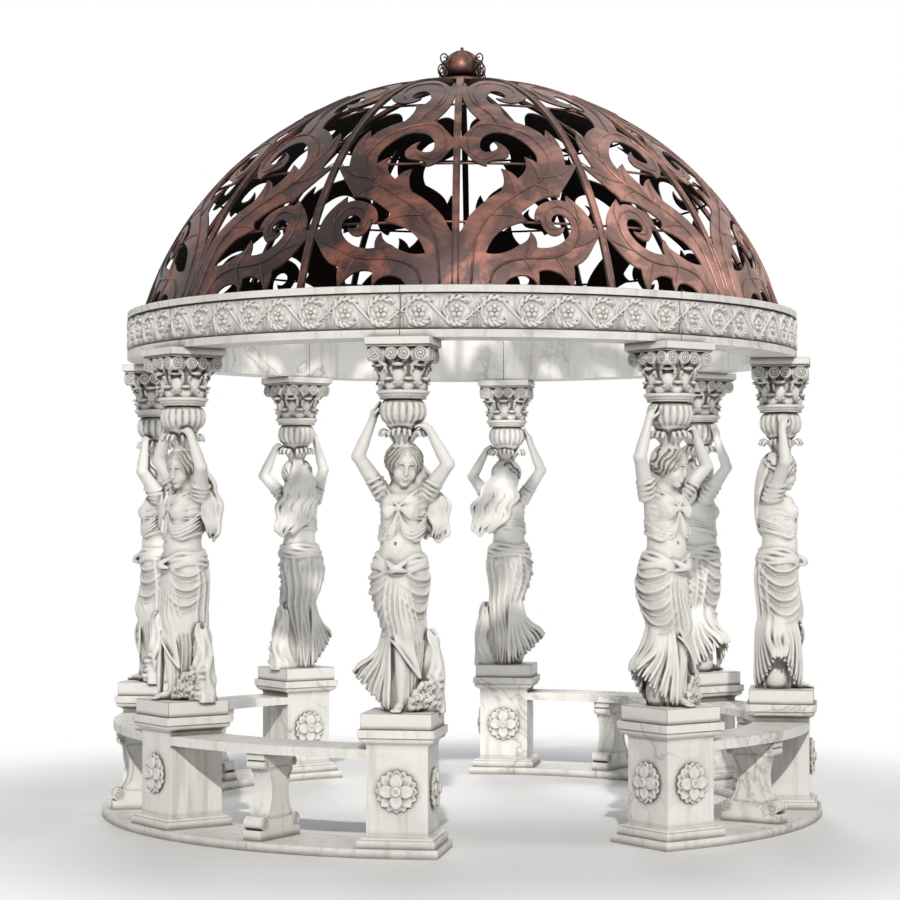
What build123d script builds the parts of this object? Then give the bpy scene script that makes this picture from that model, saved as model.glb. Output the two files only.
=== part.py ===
# Marble gazebo: eight caryatid columns on pedestals carry a carved ring beam,
# and an openwork metal dome of acanthus scrolls stands on the ring.
# Millimetres, +Z up, origin on the ground at the centre, entrances along -Y and +Y.
from build123d import *
from math import acos, asin, cos, degrees, radians, sin, sqrt
import os

os.makedirs("parts", exist_ok=True)

# Layout
column_count = 8
column_radius = 1672.0
column_step = 360.0 / column_count
first_column_angle = column_step / 2
mortar_joint = 3.0
fit_gap = 0.3

# Kerb arcs on the ground
kerb_height = 40.0
kerb_lap = 16.0
kerb_open_angle = 15.0

# Pedestal, square, with a moulded foot and cap
pedestal_half = 178.0
dado_inset = 37.0
foot_height = 59.0
foot_fascia = 35.0
dado_height = 390.0
cap_height = 80.0
cap_fascia = 36.0
cap_fillet = 8.0
moulding_step = 8.0

# Rosette carved on the pedestal faces
petal_count = 8
petal_long = 52.0
petal_wide = 38.0
petal_ring = 56.0
petal_relief = 9.0
inner_ring_share = 0.55
boss_radius = 20.0

# Bench
seat_thickness = 44.0
seat_drop = 8.0
seat_edge = 6.0
bracket_thickness = 100.0
bracket_foot_half = 152.0
bracket_foot_height = 46.0
bracket_head_height = 30.0
bracket_head_half = 128.0
bottom_scroll_radius = 31.0
top_scroll_radius = 21.0
bracket_waist_half = 66.0

# Caryatid: plinth block, figure, leaf ring, collar and bowl
plinth_inset = 14.0
plinth_height = 74.0
figure_height = 1219.0
leaf_height = 70.0
leaf_ring_radius = 102.0
leaf_root_radius = 62.0
leaf_ring_count = 8
leaf_notch_radius = 22.0
leaf_notch_share = 0.45
collar_radius = 75.0
collar_height = 12.0
bowl_radius = 104.0
bowl_mouth_radius = 96.0
bowl_belly_share = 0.62
bowl_height = 118.0

# Figure sections, as shares of the figure's height:
# height, centre across, centre back, half width, half depth
body_shares = (
    (0.000, -0.004, 0.022, 0.098, 0.092),
    (0.096, -0.004, 0.028, 0.092, 0.088),
    (0.232, -0.002, 0.029, 0.082, 0.082),
    (0.306, 0.000, 0.025, 0.080, 0.083),
    (0.381, -0.014, 0.025, 0.089, 0.087),
    (0.455, -0.016, 0.029, 0.113, 0.089),
    (0.530, -0.016, 0.023, 0.112, 0.092),
    (0.614, -0.012, 0.018, 0.081, 0.071),
    (0.655, -0.010, 0.020, 0.081, 0.072),
    (0.717, -0.007, 0.028, 0.088, 0.082),
    (0.772, -0.005, 0.034, 0.091, 0.086),
    (0.819, -0.003, 0.033, 0.083, 0.068),
    (0.845, 0.000, 0.026, 0.042, 0.043),
    (0.880, 0.004, 0.016, 0.036, 0.038),
)
sash_shares = (
    (0.505, -0.016, 0.025, 0.108, 0.088),
    (0.532, -0.016, 0.022, 0.122, 0.101),
    (0.566, -0.014, 0.020, 0.116, 0.096),
    (0.596, -0.012, 0.018, 0.084, 0.072),
)
flare_shares = (
    (0.010, -0.085, 0.050, 0.078, 0.066),
    (0.120, -0.108, 0.052, 0.062, 0.050),
    (0.230, -0.062, 0.045, 0.045, 0.045),
    (0.340, -0.020, 0.035, 0.040, 0.040),
)
stump_shares = (
    (0.000, 0.110, 0.035, 0.062, 0.070),
    (0.120, 0.112, 0.038, 0.052, 0.058),
    (0.230, 0.105, 0.040, 0.040, 0.048),
    (0.320, 0.090, 0.040, 0.024, 0.030),
)
hair_shares = (
    (0.640, 0.128, 0.080, 0.026, 0.018),
    (0.700, 0.118, 0.082, 0.034, 0.024),
    (0.790, 0.080, 0.076, 0.034, 0.030),
    (0.890, 0.035, 0.050, 0.045, 0.045),
)
# Limbs: start, end (across, back, height) and the two radii
limb_shares = (
    ((-0.085, 0.030, 0.806), (-0.164, -0.026, 0.948), 0.033, 0.028),
    ((-0.164, -0.026, 0.948), (-0.098, -0.012, 1.095), 0.028, 0.017),
    ((0.088, 0.030, 0.806), (0.172, -0.020, 0.924), 0.034, 0.028),
    ((0.172, -0.020, 0.924), (0.080, -0.032, 1.045), 0.027, 0.016),
    ((-0.006, -0.040, 0.270), (-0.004, -0.062, 0.050), 0.040, 0.026),
    ((-0.004, -0.062, 0.030), (-0.010, -0.118, 0.016), 0.026, 0.018),
)
head_share = (0.006, -0.004, 0.916)
head_radius_share = 0.072
bust_shares = ((-0.040, -0.036, 0.745), (0.040, -0.036, 0.745))
bust_radius_share = 0.036

# Capital
capital_height = 279.0
capital_torus_radius = 125.0
capital_torus_height = 30.0
bell_radius = 98.0
bell_top_radius = 122.0
abacus_half = 152.0
abacus_height = 46.0
abacus_step = 10.0
corner_volute_radius = 29.0
inner_volute_radius = 23.0
volute_root_share = 0.6
volute_lap = 2.0
leaf_tip_reach = 22.0
leaf_tip_drop = 18.0
leaf_width = 46.0
capital_leaf_count = 8
lower_leaf_share = 0.40
upper_leaf_share = 0.66

# Ring beam
ring_height = 237.0
ring_lip_radius = 1756.0
ring_lip_height = 32.0
ring_band_height = 35.0
frieze_inset = 12.0
ring_width = 226.0

# Dome
dome_sphere_radius = 1748.0
dome_foot_inset = 80.0
rib_pair_count = 7
stem_rib_angle = -14.3
rib_width = 34.0
rib_depth = 16.0
panel_thickness = 8.0
foot_ring_width = 34.0
foot_ring_height = 10.0
hoop_radius = 6.0
hoop_rise_shares = (0.165, 0.34, 0.60)
crown_radius = 145.0
crown_thickness = 14.0
crown_lap = 40.0
panel_middle_rise_share = 0.38
panel_cut_share = 0.35

# Finial
ball_radius = 100.0
ball_sink_share = 0.6
strap_count = 8
strap_width = 14.0
strap_raise = 4.0
spike_height = 20.0
spike_radius = 8.0
wire_radius = 4.0
wire_count = 4
lower_loop_radius = 34.0
upper_loop_radius = 28.0
upper_loop_rise = 101.5

# Edge of one scroll panel, drawn on the dome between a stem rib (0 across) and
# the next back rib (1 across); rise runs from the foot (0) to the crown (1).
# Each row is one smooth edge that starts where the row before it ended.
scroll_start_share = (-0.020, -0.010)
scroll_edge_shares = (
    ((-0.020, 0.116),),
    ((0.043, 0.140), (0.075, 0.164), (0.138, 0.193), (0.230, 0.222), (0.319, 0.243)),
    ((0.353, 0.276), (0.343, 0.312)),
    ((0.412, 0.301), (0.458, 0.282)),
    ((0.530, 0.310), (0.547, 0.354)),
    ((0.603, 0.343), (0.640, 0.334)),
    ((0.647, 0.369), (0.574, 0.409), (0.409, 0.442), (0.260, 0.432), (0.195, 0.400),
     (0.218, 0.369), (0.290, 0.370), (0.320, 0.406)),
    ((0.391, 0.392), (0.429, 0.372)),
    ((0.346, 0.343), (0.257, 0.335), (0.235, 0.320)),
    ((0.134, 0.339), (0.065, 0.371), (-0.020, 0.395)),
    ((0.066, 0.433), (0.141, 0.466), (0.230, 0.493)),
    ((0.159, 0.523), (0.075, 0.585), (0.044, 0.658), (0.088, 0.749)),
    ((0.125, 0.701),),
    ((0.327, 0.759), (0.640, 0.790), (0.840, 0.765), (0.888, 0.705), (0.912, 0.639)),
    ((0.753, 0.600), (0.612, 0.590), (0.496, 0.606), (0.471, 0.619)),
    ((0.555, 0.618), (0.614, 0.638), (0.519, 0.669), (0.368, 0.636), (0.368, 0.589),
     (0.426, 0.572), (0.500, 0.584)),
    ((0.469, 0.551), (0.527, 0.495)),
    ((0.653, 0.476), (0.753, 0.452), (0.796, 0.430)),
    ((0.835, 0.461),),
    ((0.894, 0.422), (0.897, 0.369), (0.872, 0.328)),
    ((0.911, 0.329), (1.020, 0.353)),
    ((0.876, 0.291), (0.774, 0.249)),
    ((0.748, 0.233),),
    ((0.640, 0.229), (0.541, 0.211), (0.450, 0.186)),
    ((0.462, 0.172), (0.484, 0.165)),
    ((0.399, 0.154), (0.308, 0.139), (0.235, 0.112), (0.193, 0.079)),
    ((0.256, 0.077), (0.334, 0.084), (0.414, 0.101)),
    ((0.469, 0.114), (0.494, 0.135)),
    ((0.527, 0.115), (0.527, 0.095)),
    ((0.616, 0.096), (0.712, 0.112), (0.775, 0.141), (0.777, 0.168), (0.732, 0.183),
     (0.667, 0.177), (0.651, 0.161), (0.683, 0.148), (0.736, 0.150)),
    ((0.701, 0.132), (0.644, 0.127), (0.594, 0.142), (0.575, 0.168)),
    ((0.540, 0.161),),
    ((0.537, 0.179), (0.577, 0.203), (0.657, 0.218), (0.746, 0.222), (0.784, 0.218)),
    ((0.795, 0.236),),
    ((0.853, 0.217), (0.913, 0.190), (0.943, 0.163), (0.945, 0.150)),
    ((1.020, 0.142),),
    ((0.948, 0.118), (0.879, 0.084), (0.757, 0.054)),
    ((0.755, 0.029), (0.726, -0.010)),
    ((0.679, 0.028), (0.602, 0.041), (0.521, 0.037)),
    ((0.522, 0.023), (0.507, -0.010)),
    ((0.469, 0.023), (0.385, 0.026), (0.325, 0.015), (0.290, -0.010)),
)

# Levels that follow from the sizes above
kerb_outer = sqrt((column_radius + pedestal_half) ** 2 + pedestal_half ** 2) + kerb_lap
kerb_inner = column_radius - pedestal_half - kerb_lap
dado_half = pedestal_half - dado_inset
dado_bottom = kerb_height + foot_height
cap_bottom = dado_bottom + dado_height
pedestal_top = cap_bottom + cap_height
seat_top = cap_bottom - seat_drop
seat_bottom = seat_top - seat_thickness
plinth_half = pedestal_half - plinth_inset
plinth_top = pedestal_top + plinth_height
head_top = plinth_top + figure_height
leaf_top = head_top + leaf_height
bowl_bottom = leaf_top + collar_height
bowl_top = bowl_bottom + bowl_height
ring_bottom = bowl_top + capital_height
ring_top = ring_bottom + ring_height
ring_inner = ring_lip_radius - ring_width
dome_foot_radius = ring_lip_radius - dome_foot_inset
dome_centre = ring_top - sqrt(dome_sphere_radius ** 2 - dome_foot_radius ** 2)
foot_angle = degrees(asin((ring_top - dome_centre) / dome_sphere_radius))
rib_inner_end = crown_radius - crown_lap
crown_angle = degrees(acos(rib_inner_end / dome_sphere_radius))
crown_bottom = dome_centre + sqrt(dome_sphere_radius ** 2 - rib_inner_end ** 2)
crown_top = crown_bottom + crown_thickness
dome_foot_top = ring_top + foot_ring_height
bay_angle = 180.0 / rib_pair_count
seat_outer = sqrt((column_radius + dado_half) ** 2 + dado_half ** 2)
seat_inner = sqrt((column_radius - dado_half) ** 2 + dado_half ** 2)
seat_middle = (seat_outer + seat_inner) / 2
beyond = 2 * kerb_outer


def at_angle(radius, angle):
    """Plan point at an angle counted from -Y towards +X."""
    return (radius * sin(radians(angle)), -radius * cos(radians(angle)))


def column_angle(number):
    return first_column_angle + column_step * number


def save(shape, name):
    shape.label = name
    export_step(shape, f"parts/{name}.step")


def save_around(shape, name, angle, radius):
    """Save a copy that faces outwards at a place on the circle."""
    save(Rot(0, 0, angle) * Pos(0, -radius, 0) * shape, name)


# Kerb: two arcs of six stones, cut square at the entrances
kerb_end = pedestal_half + kerb_lap
for side, first in (("right", 0), ("left", column_count // 2)):
    last = first + column_count // 2 - 1
    with BuildPart() as kerb:
        with BuildSketch():
            Circle(kerb_outer)
            Circle(kerb_inner, mode=Mode.SUBTRACT)
            with BuildLine():
                Polyline((0, 0), *[at_angle(beyond, column_angle(n) + side_step)
                                   for n, side_step in ((first, -kerb_open_angle), (first, 0),
                                                        (first + 1, 0), (last - 1, 0), (last, 0),
                                                        (last, kerb_open_angle))], close=True)
            make_face(mode=Mode.INTERSECT)
            for number, turn in ((first, 1), (last, -1)):
                with Locations(Rot(0, 0, column_angle(number)) * Pos(-turn * kerb_end, 0, 0)):
                    Rectangle(beyond, 2 * beyond, mode=Mode.SUBTRACT,
                              align=(Align.MAX if turn > 0 else Align.MIN, Align.CENTER))
            for joint in range(1, 2 * (last - first)):
                angle = column_angle(first) + joint * column_step / 2
                with Locations(Rot(0, 0, angle)):
                    Rectangle(mortar_joint, 2 * kerb_outer, mode=Mode.SUBTRACT,
                              align=(Align.CENTER, Align.MAX))
        extrude(amount=kerb_height)
    save(kerb.part, f"kerb_{side}")


# Pedestal: one silhouette drawn on both walls, then rosettes on the dado
def pedestal_side():
    foot_top = kerb_height + foot_fascia
    cove_top = pedestal_top - cap_fascia - cap_fillet
    Polyline((0, kerb_height), (pedestal_half, kerb_height), (pedestal_half, foot_top),
             (pedestal_half - moulding_step, foot_top))
    Spline((pedestal_half - moulding_step, foot_top), (dado_half, dado_bottom),
           tangents=((0, 1), (0, 1)))
    Line((dado_half, dado_bottom), (dado_half, cap_bottom))
    Spline((dado_half, cap_bottom), (pedestal_half - moulding_step, cove_top),
           tangents=((0, 1), (0, 1)))
    Polyline((pedestal_half - moulding_step, cove_top),
             (pedestal_half - moulding_step, pedestal_top - cap_fascia),
             (pedestal_half, pedestal_top - cap_fascia), (pedestal_half, pedestal_top),
             (0, pedestal_top), (0, kerb_height))


rosette_height = (dado_bottom + cap_bottom) / 2
rosette_faces = {
    "outer": Plane((0, -dado_half, rosette_height), x_dir=(1, 0, 0), z_dir=(0, -1, 0)),
    "inner": Plane((0, dado_half, rosette_height), x_dir=(-1, 0, 0), z_dir=(0, 1, 0)),
    "right": Plane((dado_half, 0, rosette_height), x_dir=(0, 1, 0), z_dir=(1, 0, 0)),
    "left": Plane((-dado_half, 0, rosette_height), x_dir=(0, -1, 0), z_dir=(-1, 0, 0)),
}


# Rosette: double eight-petal flower with a round boss
with BuildPart() as rosette:
    for ring_share, relief, turn in ((1.0, petal_relief, 0.0),
                                     (inner_ring_share, 2 * petal_relief, 180.0 / petal_count)):
        with BuildSketch():
            with PolarLocations(petal_ring * ring_share, petal_count, start_angle=turn):
                Ellipse(petal_long / 2, petal_wide / 2 * ring_share)
            Circle(petal_ring * ring_share)
        extrude(amount=relief)
    Sphere(boss_radius + petal_relief)

for number in range(column_count):
    carved = ["outer", "inner"]
    if number in (0, column_count // 2):
        carved.append("left")
    if number in (column_count // 2 - 1, column_count - 1):
        carved.append("right")
    with BuildPart() as pedestal:
        for wall, mode in ((Plane.XZ, Mode.ADD), (Plane.YZ, Mode.INTERSECT)):
            with BuildSketch(wall):
                with BuildLine():
                    pedestal_side()
                make_face()
                mirror(about=Plane.YZ)
            extrude(amount=pedestal_half, both=True, mode=mode)
        for face_name in carved:
            add(rosette_faces[face_name].location * rosette.part)
    save_around(pedestal.part, f"pedestal_{number + 1}", column_angle(number), column_radius)

# Bench seats: curved slabs that end on the pedestals' sides
for side, first in (("right", 0), ("left", column_count // 2)):
    spans = range(first, first + column_count // 2)
    with BuildPart() as seats:
        with BuildSketch(Plane.XY.offset(seat_bottom)):
            Circle(seat_outer)
            Circle(seat_inner, mode=Mode.SUBTRACT)
            with BuildLine():
                Polyline((0, 0), *[at_angle(beyond, column_angle(n)) for n in spans], close=True)
            make_face(mode=Mode.INTERSECT)
            for number in spans:
                with Locations(Rot(0, 0, column_angle(number)) * Pos(0, -column_radius, 0)):
                    Rectangle(2 * dado_half, 2 * pedestal_half, mode=Mode.SUBTRACT)
        extrude(amount=seat_thickness)
        fillet(seats.edges().filter_by(GeomType.CIRCLE).group_by(Axis.Z)[-1], seat_edge)
    save(seats.part, f"bench_seats_{side}")


# Bench brackets: scrolled consoles on the kerb under the middle of each seat
bracket_foot_top = kerb_height + bracket_foot_height
bracket_head_bottom = seat_bottom - bracket_head_height
low_scroll = (bracket_foot_half - bottom_scroll_radius, bracket_foot_top + bottom_scroll_radius)
high_scroll = (bracket_head_half - top_scroll_radius, bracket_head_bottom - top_scroll_radius)


def bracket_side():
    waist_height = (low_scroll[1] + high_scroll[1]) / 2
    Polyline((0, bracket_foot_top), (low_scroll[0], bracket_foot_top), low_scroll)
    ThreePointArc(low_scroll, (bracket_waist_half, waist_height), high_scroll)
    Polyline(high_scroll, (high_scroll[0], bracket_head_bottom),
             (bracket_head_half, bracket_head_bottom), (bracket_head_half, seat_bottom),
             (0, seat_bottom), (0, bracket_foot_top))


with BuildPart() as bracket:
    with BuildSketch(Plane.YZ):
        with BuildLine():
            bracket_side()
        make_face()
        mirror(about=Plane.YZ)
        with Locations((0, kerb_height)):
            Rectangle(2 * bracket_foot_half, bracket_foot_height, align=(Align.CENTER, Align.MIN))
        for turn in (1, -1):
            with Locations((turn * low_scroll[0], low_scroll[1])):
                Circle(bottom_scroll_radius)
            with Locations((turn * high_scroll[0], high_scroll[1])):
                Circle(top_scroll_radius)
    extrude(amount=bracket_thickness / 2, both=True)
for side, first in (("right", 0), ("left", column_count // 2)):
    with BuildPart() as brackets:
        for number in range(first, first + column_count // 2 - 1):
            angle = column_angle(number) + column_step / 2
            add(Rot(0, 0, angle) * Pos(0, -seat_middle, 0) * bracket.part)
    save(brackets.part, f"bench_brackets_{side}")


# Bowl on a collar and a ring of leaves, one turned form; the ring is notched between its leaves
bowl_foot = (collar_radius, bowl_bottom)
bowl_belly = (bowl_radius, bowl_bottom + bowl_height * bowl_belly_share)
bowl_mouth = (bowl_mouth_radius, bowl_top)
with BuildPart() as bowl:
    with BuildSketch(Plane.XZ):
        with BuildLine():
            Polyline((0, head_top - leaf_height), (leaf_root_radius, head_top - leaf_height),
                     (leaf_root_radius, head_top))
            Spline((leaf_root_radius, head_top), (leaf_ring_radius, leaf_top - collar_height),
                   tangents=((0, 1), (1, 0)))
            Polyline((leaf_ring_radius, leaf_top - collar_height), (collar_radius, leaf_top), bowl_foot)
            ThreePointArc(bowl_foot, bowl_belly, bowl_mouth)
            Polyline(bowl_mouth, (0, bowl_top), (0, head_top - leaf_height))
        make_face()
    revolve(axis=Axis.Z)
    with BuildSketch(Plane.XY.offset(head_top)):
        with PolarLocations(leaf_ring_radius + leaf_notch_radius * leaf_notch_share, leaf_ring_count):
            Circle(leaf_notch_radius)
    extrude(amount=leaf_height, mode=Mode.SUBTRACT)


# Caryatid: figure of lofted sections and tapered limbs under a leaf ring and bowl
def figure_point(across, back, rise):
    return Vector(across * figure_height, back * figure_height, plinth_top + rise * figure_height)


with BuildPart() as caryatid:
    with BuildSketch(Plane.XY.offset(pedestal_top)):
        Rectangle(2 * plinth_half, 2 * plinth_half)
    extrude(amount=plinth_height)
    for sections in (body_shares, sash_shares, flare_shares, stump_shares, hair_shares):
        for rise, across, back, half_width, half_depth in sections:
            with BuildSketch(Plane.XY.offset(plinth_top + rise * figure_height)):
                with Locations((across * figure_height, back * figure_height)):
                    Ellipse(half_width * figure_height, half_depth * figure_height)
        loft()
    for start_share, end_share, start_radius_share, end_radius_share in limb_shares:
        start, end = figure_point(*start_share), figure_point(*end_share)
        ends = ((start, start_radius_share), (end, end_radius_share))
        for point, share in ends:
            with BuildSketch(Plane(origin=point, z_dir=end - start)):
                Circle(share * figure_height)
        loft()
        for point, share in ends:
            with Locations(point):
                Sphere(share * figure_height)
    with Locations(figure_point(*head_share)):
        Sphere(head_radius_share * figure_height)
    for bust in bust_shares:
        with Locations(figure_point(*bust)):
            Sphere(bust_radius_share * figure_height)
    add(bowl.part)
for number in range(column_count):
    save_around(caryatid.part, f"caryatid_{number + 1}", column_angle(number), column_radius)

# Capital: round moulding, bell, leaf tips, volutes and a stepped square abacus
abacus_bottom = ring_bottom - abacus_height
bell_bottom = bowl_top + capital_torus_height
with BuildPart() as capital:
    with BuildSketch(Plane.XZ):
        with BuildLine():
            Polyline((0, bowl_top), (capital_torus_radius - capital_torus_height / 2, bowl_top))
            ThreePointArc((capital_torus_radius - capital_torus_height / 2, bowl_top),
                          (capital_torus_radius, (bowl_top + bell_bottom) / 2),
                          (capital_torus_radius - capital_torus_height / 2, bell_bottom))
            Line((capital_torus_radius - capital_torus_height / 2, bell_bottom),
                 (bell_radius, bell_bottom))
            Spline((bell_radius, bell_bottom), (bell_top_radius, abacus_bottom),
                   tangents=((0, 1), (1, 1)))
            Polyline((bell_top_radius, abacus_bottom), (0, abacus_bottom), (0, bowl_top))
        make_face()
    revolve(axis=Axis.Z)
    with BuildSketch(Plane.XY.offset(abacus_bottom)):
        Rectangle(2 * (abacus_half - abacus_step), 2 * (abacus_half - abacus_step))
    extrude(amount=abacus_height)
    with BuildSketch(Plane.XY.offset(abacus_bottom + abacus_step)):
        Rectangle(2 * abacus_half, 2 * abacus_half)
    extrude(amount=abacus_height - abacus_step)
    for turn in range(4):
        face = Plane(Rot(0, 0, 90 * turn) * Plane.XZ.offset(abacus_half - abacus_step).location)
        with BuildSketch(face):
            for radius, across in ((corner_volute_radius, abacus_half - abacus_step
                                    - corner_volute_radius),
                                   (inner_volute_radius, inner_volute_radius - volute_lap)):
                height = abacus_bottom + volute_lap - radius
                with Locations((across, height), (-across, height)):
                    Circle(radius)
        extrude(amount=-(abacus_half - abacus_step - bell_radius * volute_root_share))
    for level_share, turn in ((lower_leaf_share, 0), (upper_leaf_share, 0.5)):
        tip = bell_bottom + level_share * (abacus_bottom - bell_bottom)
        for leaf in range(capital_leaf_count):
            angle = 360 / capital_leaf_count * (leaf + turn)
            with BuildSketch(Plane(Rot(0, 0, angle) * Plane.YZ.location)):
                with BuildLine():
                    curl = bell_radius + leaf_tip_reach
                    Polyline((-bell_radius * volute_root_share, bell_bottom - volute_lap),
                             (-bell_radius - petal_relief, bell_bottom - volute_lap),
                             (-curl, tip - leaf_tip_drop),
                             (-curl - petal_relief, tip - leaf_tip_drop),
                             (-curl - petal_relief, tip), (-curl, tip + petal_relief),
                             (-bell_radius * volute_root_share, tip + petal_relief), close=True)
                make_face()
            extrude(amount=leaf_width / 2, both=True)
for number in range(column_count):
    save_around(capital.part, f"capital_{number + 1}", column_angle(number), column_radius)

# Ring beam: eight stones with joints over the columns
with BuildPart() as ring_beam:
    with BuildSketch(Plane.XZ):
        with BuildLine():
            Polyline((ring_inner, ring_bottom), (ring_lip_radius, ring_bottom),
                     (ring_lip_radius, ring_bottom + ring_band_height),
                     (ring_lip_radius - frieze_inset, ring_bottom + ring_band_height),
                     (ring_lip_radius - frieze_inset, ring_top - ring_lip_height),
                     (ring_lip_radius, ring_top - ring_lip_height),
                     (ring_lip_radius, ring_top), (ring_inner, ring_top), close=True)
        make_face()
    revolve(axis=Axis.Z)
    with BuildSketch(Plane.XY.offset(ring_bottom)):
        for number in range(column_count):
            with Locations(Rot(0, 0, column_angle(number))):
                Rectangle(mortar_joint, 2 * ring_lip_radius, align=(Align.CENTER, Align.MAX))
    extrude(amount=ring_height, mode=Mode.SUBTRACT)
save(ring_beam.part, "ring_beam")

# Dome frame: foot ring, ribs and inner hoops
with BuildPart() as foot_ring:
    with BuildSketch(Plane.XY.offset(ring_top)):
        Circle(dome_foot_radius)
        Circle(dome_foot_radius - foot_ring_width, mode=Mode.SUBTRACT)
    extrude(amount=foot_ring_height)
save(foot_ring.part, "dome_foot_ring")

with BuildPart() as rib:
    with BuildSketch(Plane.YZ):
        with Locations((0, dome_centre)):
            Circle(dome_sphere_radius)
            Circle(dome_sphere_radius - rib_depth, mode=Mode.SUBTRACT)
        with Locations((-rib_inner_end, dome_foot_top)):
            Rectangle(dome_sphere_radius, dome_sphere_radius, align=(Align.MAX, Align.MIN),
                      mode=Mode.INTERSECT)
    extrude(amount=rib_width / 2, both=True)
with BuildPart() as dome_ribs:
    for number in range(2 * rib_pair_count):
        add(Rot(0, 0, stem_rib_angle + bay_angle * number) * rib.part)
save(dome_ribs.part, "dome_ribs")

with BuildPart() as hoops:
    for share in hoop_rise_shares:
        angle = radians(foot_angle + share * (crown_angle - foot_angle))
        reach = dome_sphere_radius - rib_depth - hoop_radius - fit_gap
        with Locations((0, 0, dome_centre + reach * sin(angle))):
            Torus(reach * cos(angle), hoop_radius)
save(hoops.part, "dome_hoops")


# Scroll panel: its edge is drawn square to the dome at mid height and cut through a thin shell
def dome_point(across, rise):
    turn = radians(across * bay_angle)
    lift = radians(foot_angle + rise * (crown_angle - foot_angle))
    return Vector(dome_sphere_radius * cos(lift) * sin(turn),
                  -dome_sphere_radius * cos(lift) * cos(turn),
                  dome_centre + dome_sphere_radius * sin(lift))


panel_middle = dome_point(0.5, panel_middle_rise_share)
panel_plane = Plane(origin=panel_middle, z_dir=panel_middle - Vector(0, 0, dome_centre),
                    x_dir=at_angle(1, bay_angle / 2 + 90) + (0,))


def panel_spot(share):
    spot = panel_plane.to_local_coords(dome_point(*share))
    return (spot.X, spot.Y)


with BuildPart() as panel:
    with BuildSketch(panel_plane):
        with BuildLine():
            corner = panel_spot(scroll_start_share)
            for edge in scroll_edge_shares:
                spots = [corner] + [panel_spot(share) for share in edge]
                if len(spots) > 2:
                    Spline(*spots)
                else:
                    Line(*spots)
                corner = spots[-1]
            Line(corner, panel_spot(scroll_start_share))
        make_face()
    extrude(amount=dome_sphere_radius * panel_cut_share, both=True)
    with Locations((0, 0, dome_centre)):
        Sphere(dome_sphere_radius, mode=Mode.INTERSECT)
        Sphere(dome_sphere_radius - panel_thickness, mode=Mode.SUBTRACT)
    for turn in (0.0, bay_angle):
        with Locations(Rot(0, 0, turn)):
            Box(rib_width, 2 * dome_sphere_radius, 2 * ring_top + 2 * dome_sphere_radius,
                mode=Mode.SUBTRACT)
    with BuildSketch():
        Circle(beyond)
    extrude(amount=dome_foot_top, mode=Mode.SUBTRACT)
with BuildPart() as panel_pair:
    add(panel.part)
    mirror(panel.part, about=Plane.YZ)
for number in range(rib_pair_count):
    save_around(panel_pair.part, f"dome_scrolls_{number + 1}",
                stem_rib_angle + 2 * bay_angle * number, 0)

# Crown disc, ball with straps, and wire scrolls
with BuildPart() as crown:
    with BuildSketch(Plane.XY.offset(crown_bottom)):
        Circle(crown_radius)
    extrude(amount=crown_thickness)
save(crown.part, "dome_crown")

ball_centre = crown_top + ball_radius * ball_sink_share
with BuildPart() as ball:
    with BuildSketch(Plane.XZ):
        with Locations((0, ball_centre)):
            Circle(ball_radius)
        with Locations((0, ball_centre)):
            Rectangle(2 * spike_radius, ball_radius + spike_height, align=(Align.CENTER, Align.MIN))
        with Locations((0, crown_top)):
            Rectangle(ball_radius, beyond, align=(Align.MIN, Align.MIN),
                      mode=Mode.INTERSECT)
    revolve(axis=Axis.Z)
    for strap in range(strap_count):
        with BuildSketch(Plane(Rot(0, 0, stem_rib_angle + 360 / strap_count * strap)
                               * Plane.XZ.location)):
            with Locations((0, ball_centre)):
                Circle(ball_radius + strap_raise)
                Circle(ball_radius - strap_raise, mode=Mode.SUBTRACT)
            with Locations((spike_radius, crown_top)):
                Rectangle(2 * ball_radius, beyond, align=(Align.MIN, Align.MIN),
                          mode=Mode.INTERSECT)
        extrude(amount=strap_width / 2, both=True)
save(ball.part, "finial_ball")

with BuildPart() as wires:
    for number in range(wire_count):
        turn = Rot(0, 0, stem_rib_angle + 360 / wire_count * (number + 0.5))
        for radius, rise in ((lower_loop_radius, lower_loop_radius + wire_radius + fit_gap),
                             (upper_loop_radius, upper_loop_rise)):
            height = crown_top + rise
            drop = height - ball_centre
            reach = sqrt((ball_radius + radius + wire_radius + strap_raise) ** 2 - drop ** 2)
            with Locations(turn * Location((0, -reach, height), (0, 90, 0))):
                Torus(radius, wire_radius)
save(wires.part, "finial_wires")
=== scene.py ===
# %% [markdown]
# # A marble gazebo with carved figures and an openwork metal dome
# The stone and metal frame comes from the CAD part. This lesson dresses it: it carves the
# eight figures, the capitals, the flowers and the scroll frieze, works the dome's leaves,
# and gives marble and bronze their finishes. Everything is in metres, in the CAD frame.

# %% Load the frame
import math

import bmesh
import bpy
import numpy as np
import openvdb
from mathutils import Matrix, Vector


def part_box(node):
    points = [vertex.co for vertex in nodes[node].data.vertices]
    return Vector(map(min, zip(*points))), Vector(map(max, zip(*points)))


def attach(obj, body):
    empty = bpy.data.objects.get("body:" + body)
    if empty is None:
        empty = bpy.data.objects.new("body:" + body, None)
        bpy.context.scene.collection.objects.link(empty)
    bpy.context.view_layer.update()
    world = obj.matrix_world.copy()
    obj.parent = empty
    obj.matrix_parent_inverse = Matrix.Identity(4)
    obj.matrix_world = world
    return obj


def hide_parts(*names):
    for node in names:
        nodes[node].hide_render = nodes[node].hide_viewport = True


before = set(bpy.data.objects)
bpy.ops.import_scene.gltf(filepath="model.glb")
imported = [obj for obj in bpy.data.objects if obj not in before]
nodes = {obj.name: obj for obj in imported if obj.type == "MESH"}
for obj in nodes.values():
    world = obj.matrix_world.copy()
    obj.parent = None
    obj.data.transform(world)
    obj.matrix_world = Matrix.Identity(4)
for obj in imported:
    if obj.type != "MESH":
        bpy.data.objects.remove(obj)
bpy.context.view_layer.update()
scene = bpy.context.scene
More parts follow.
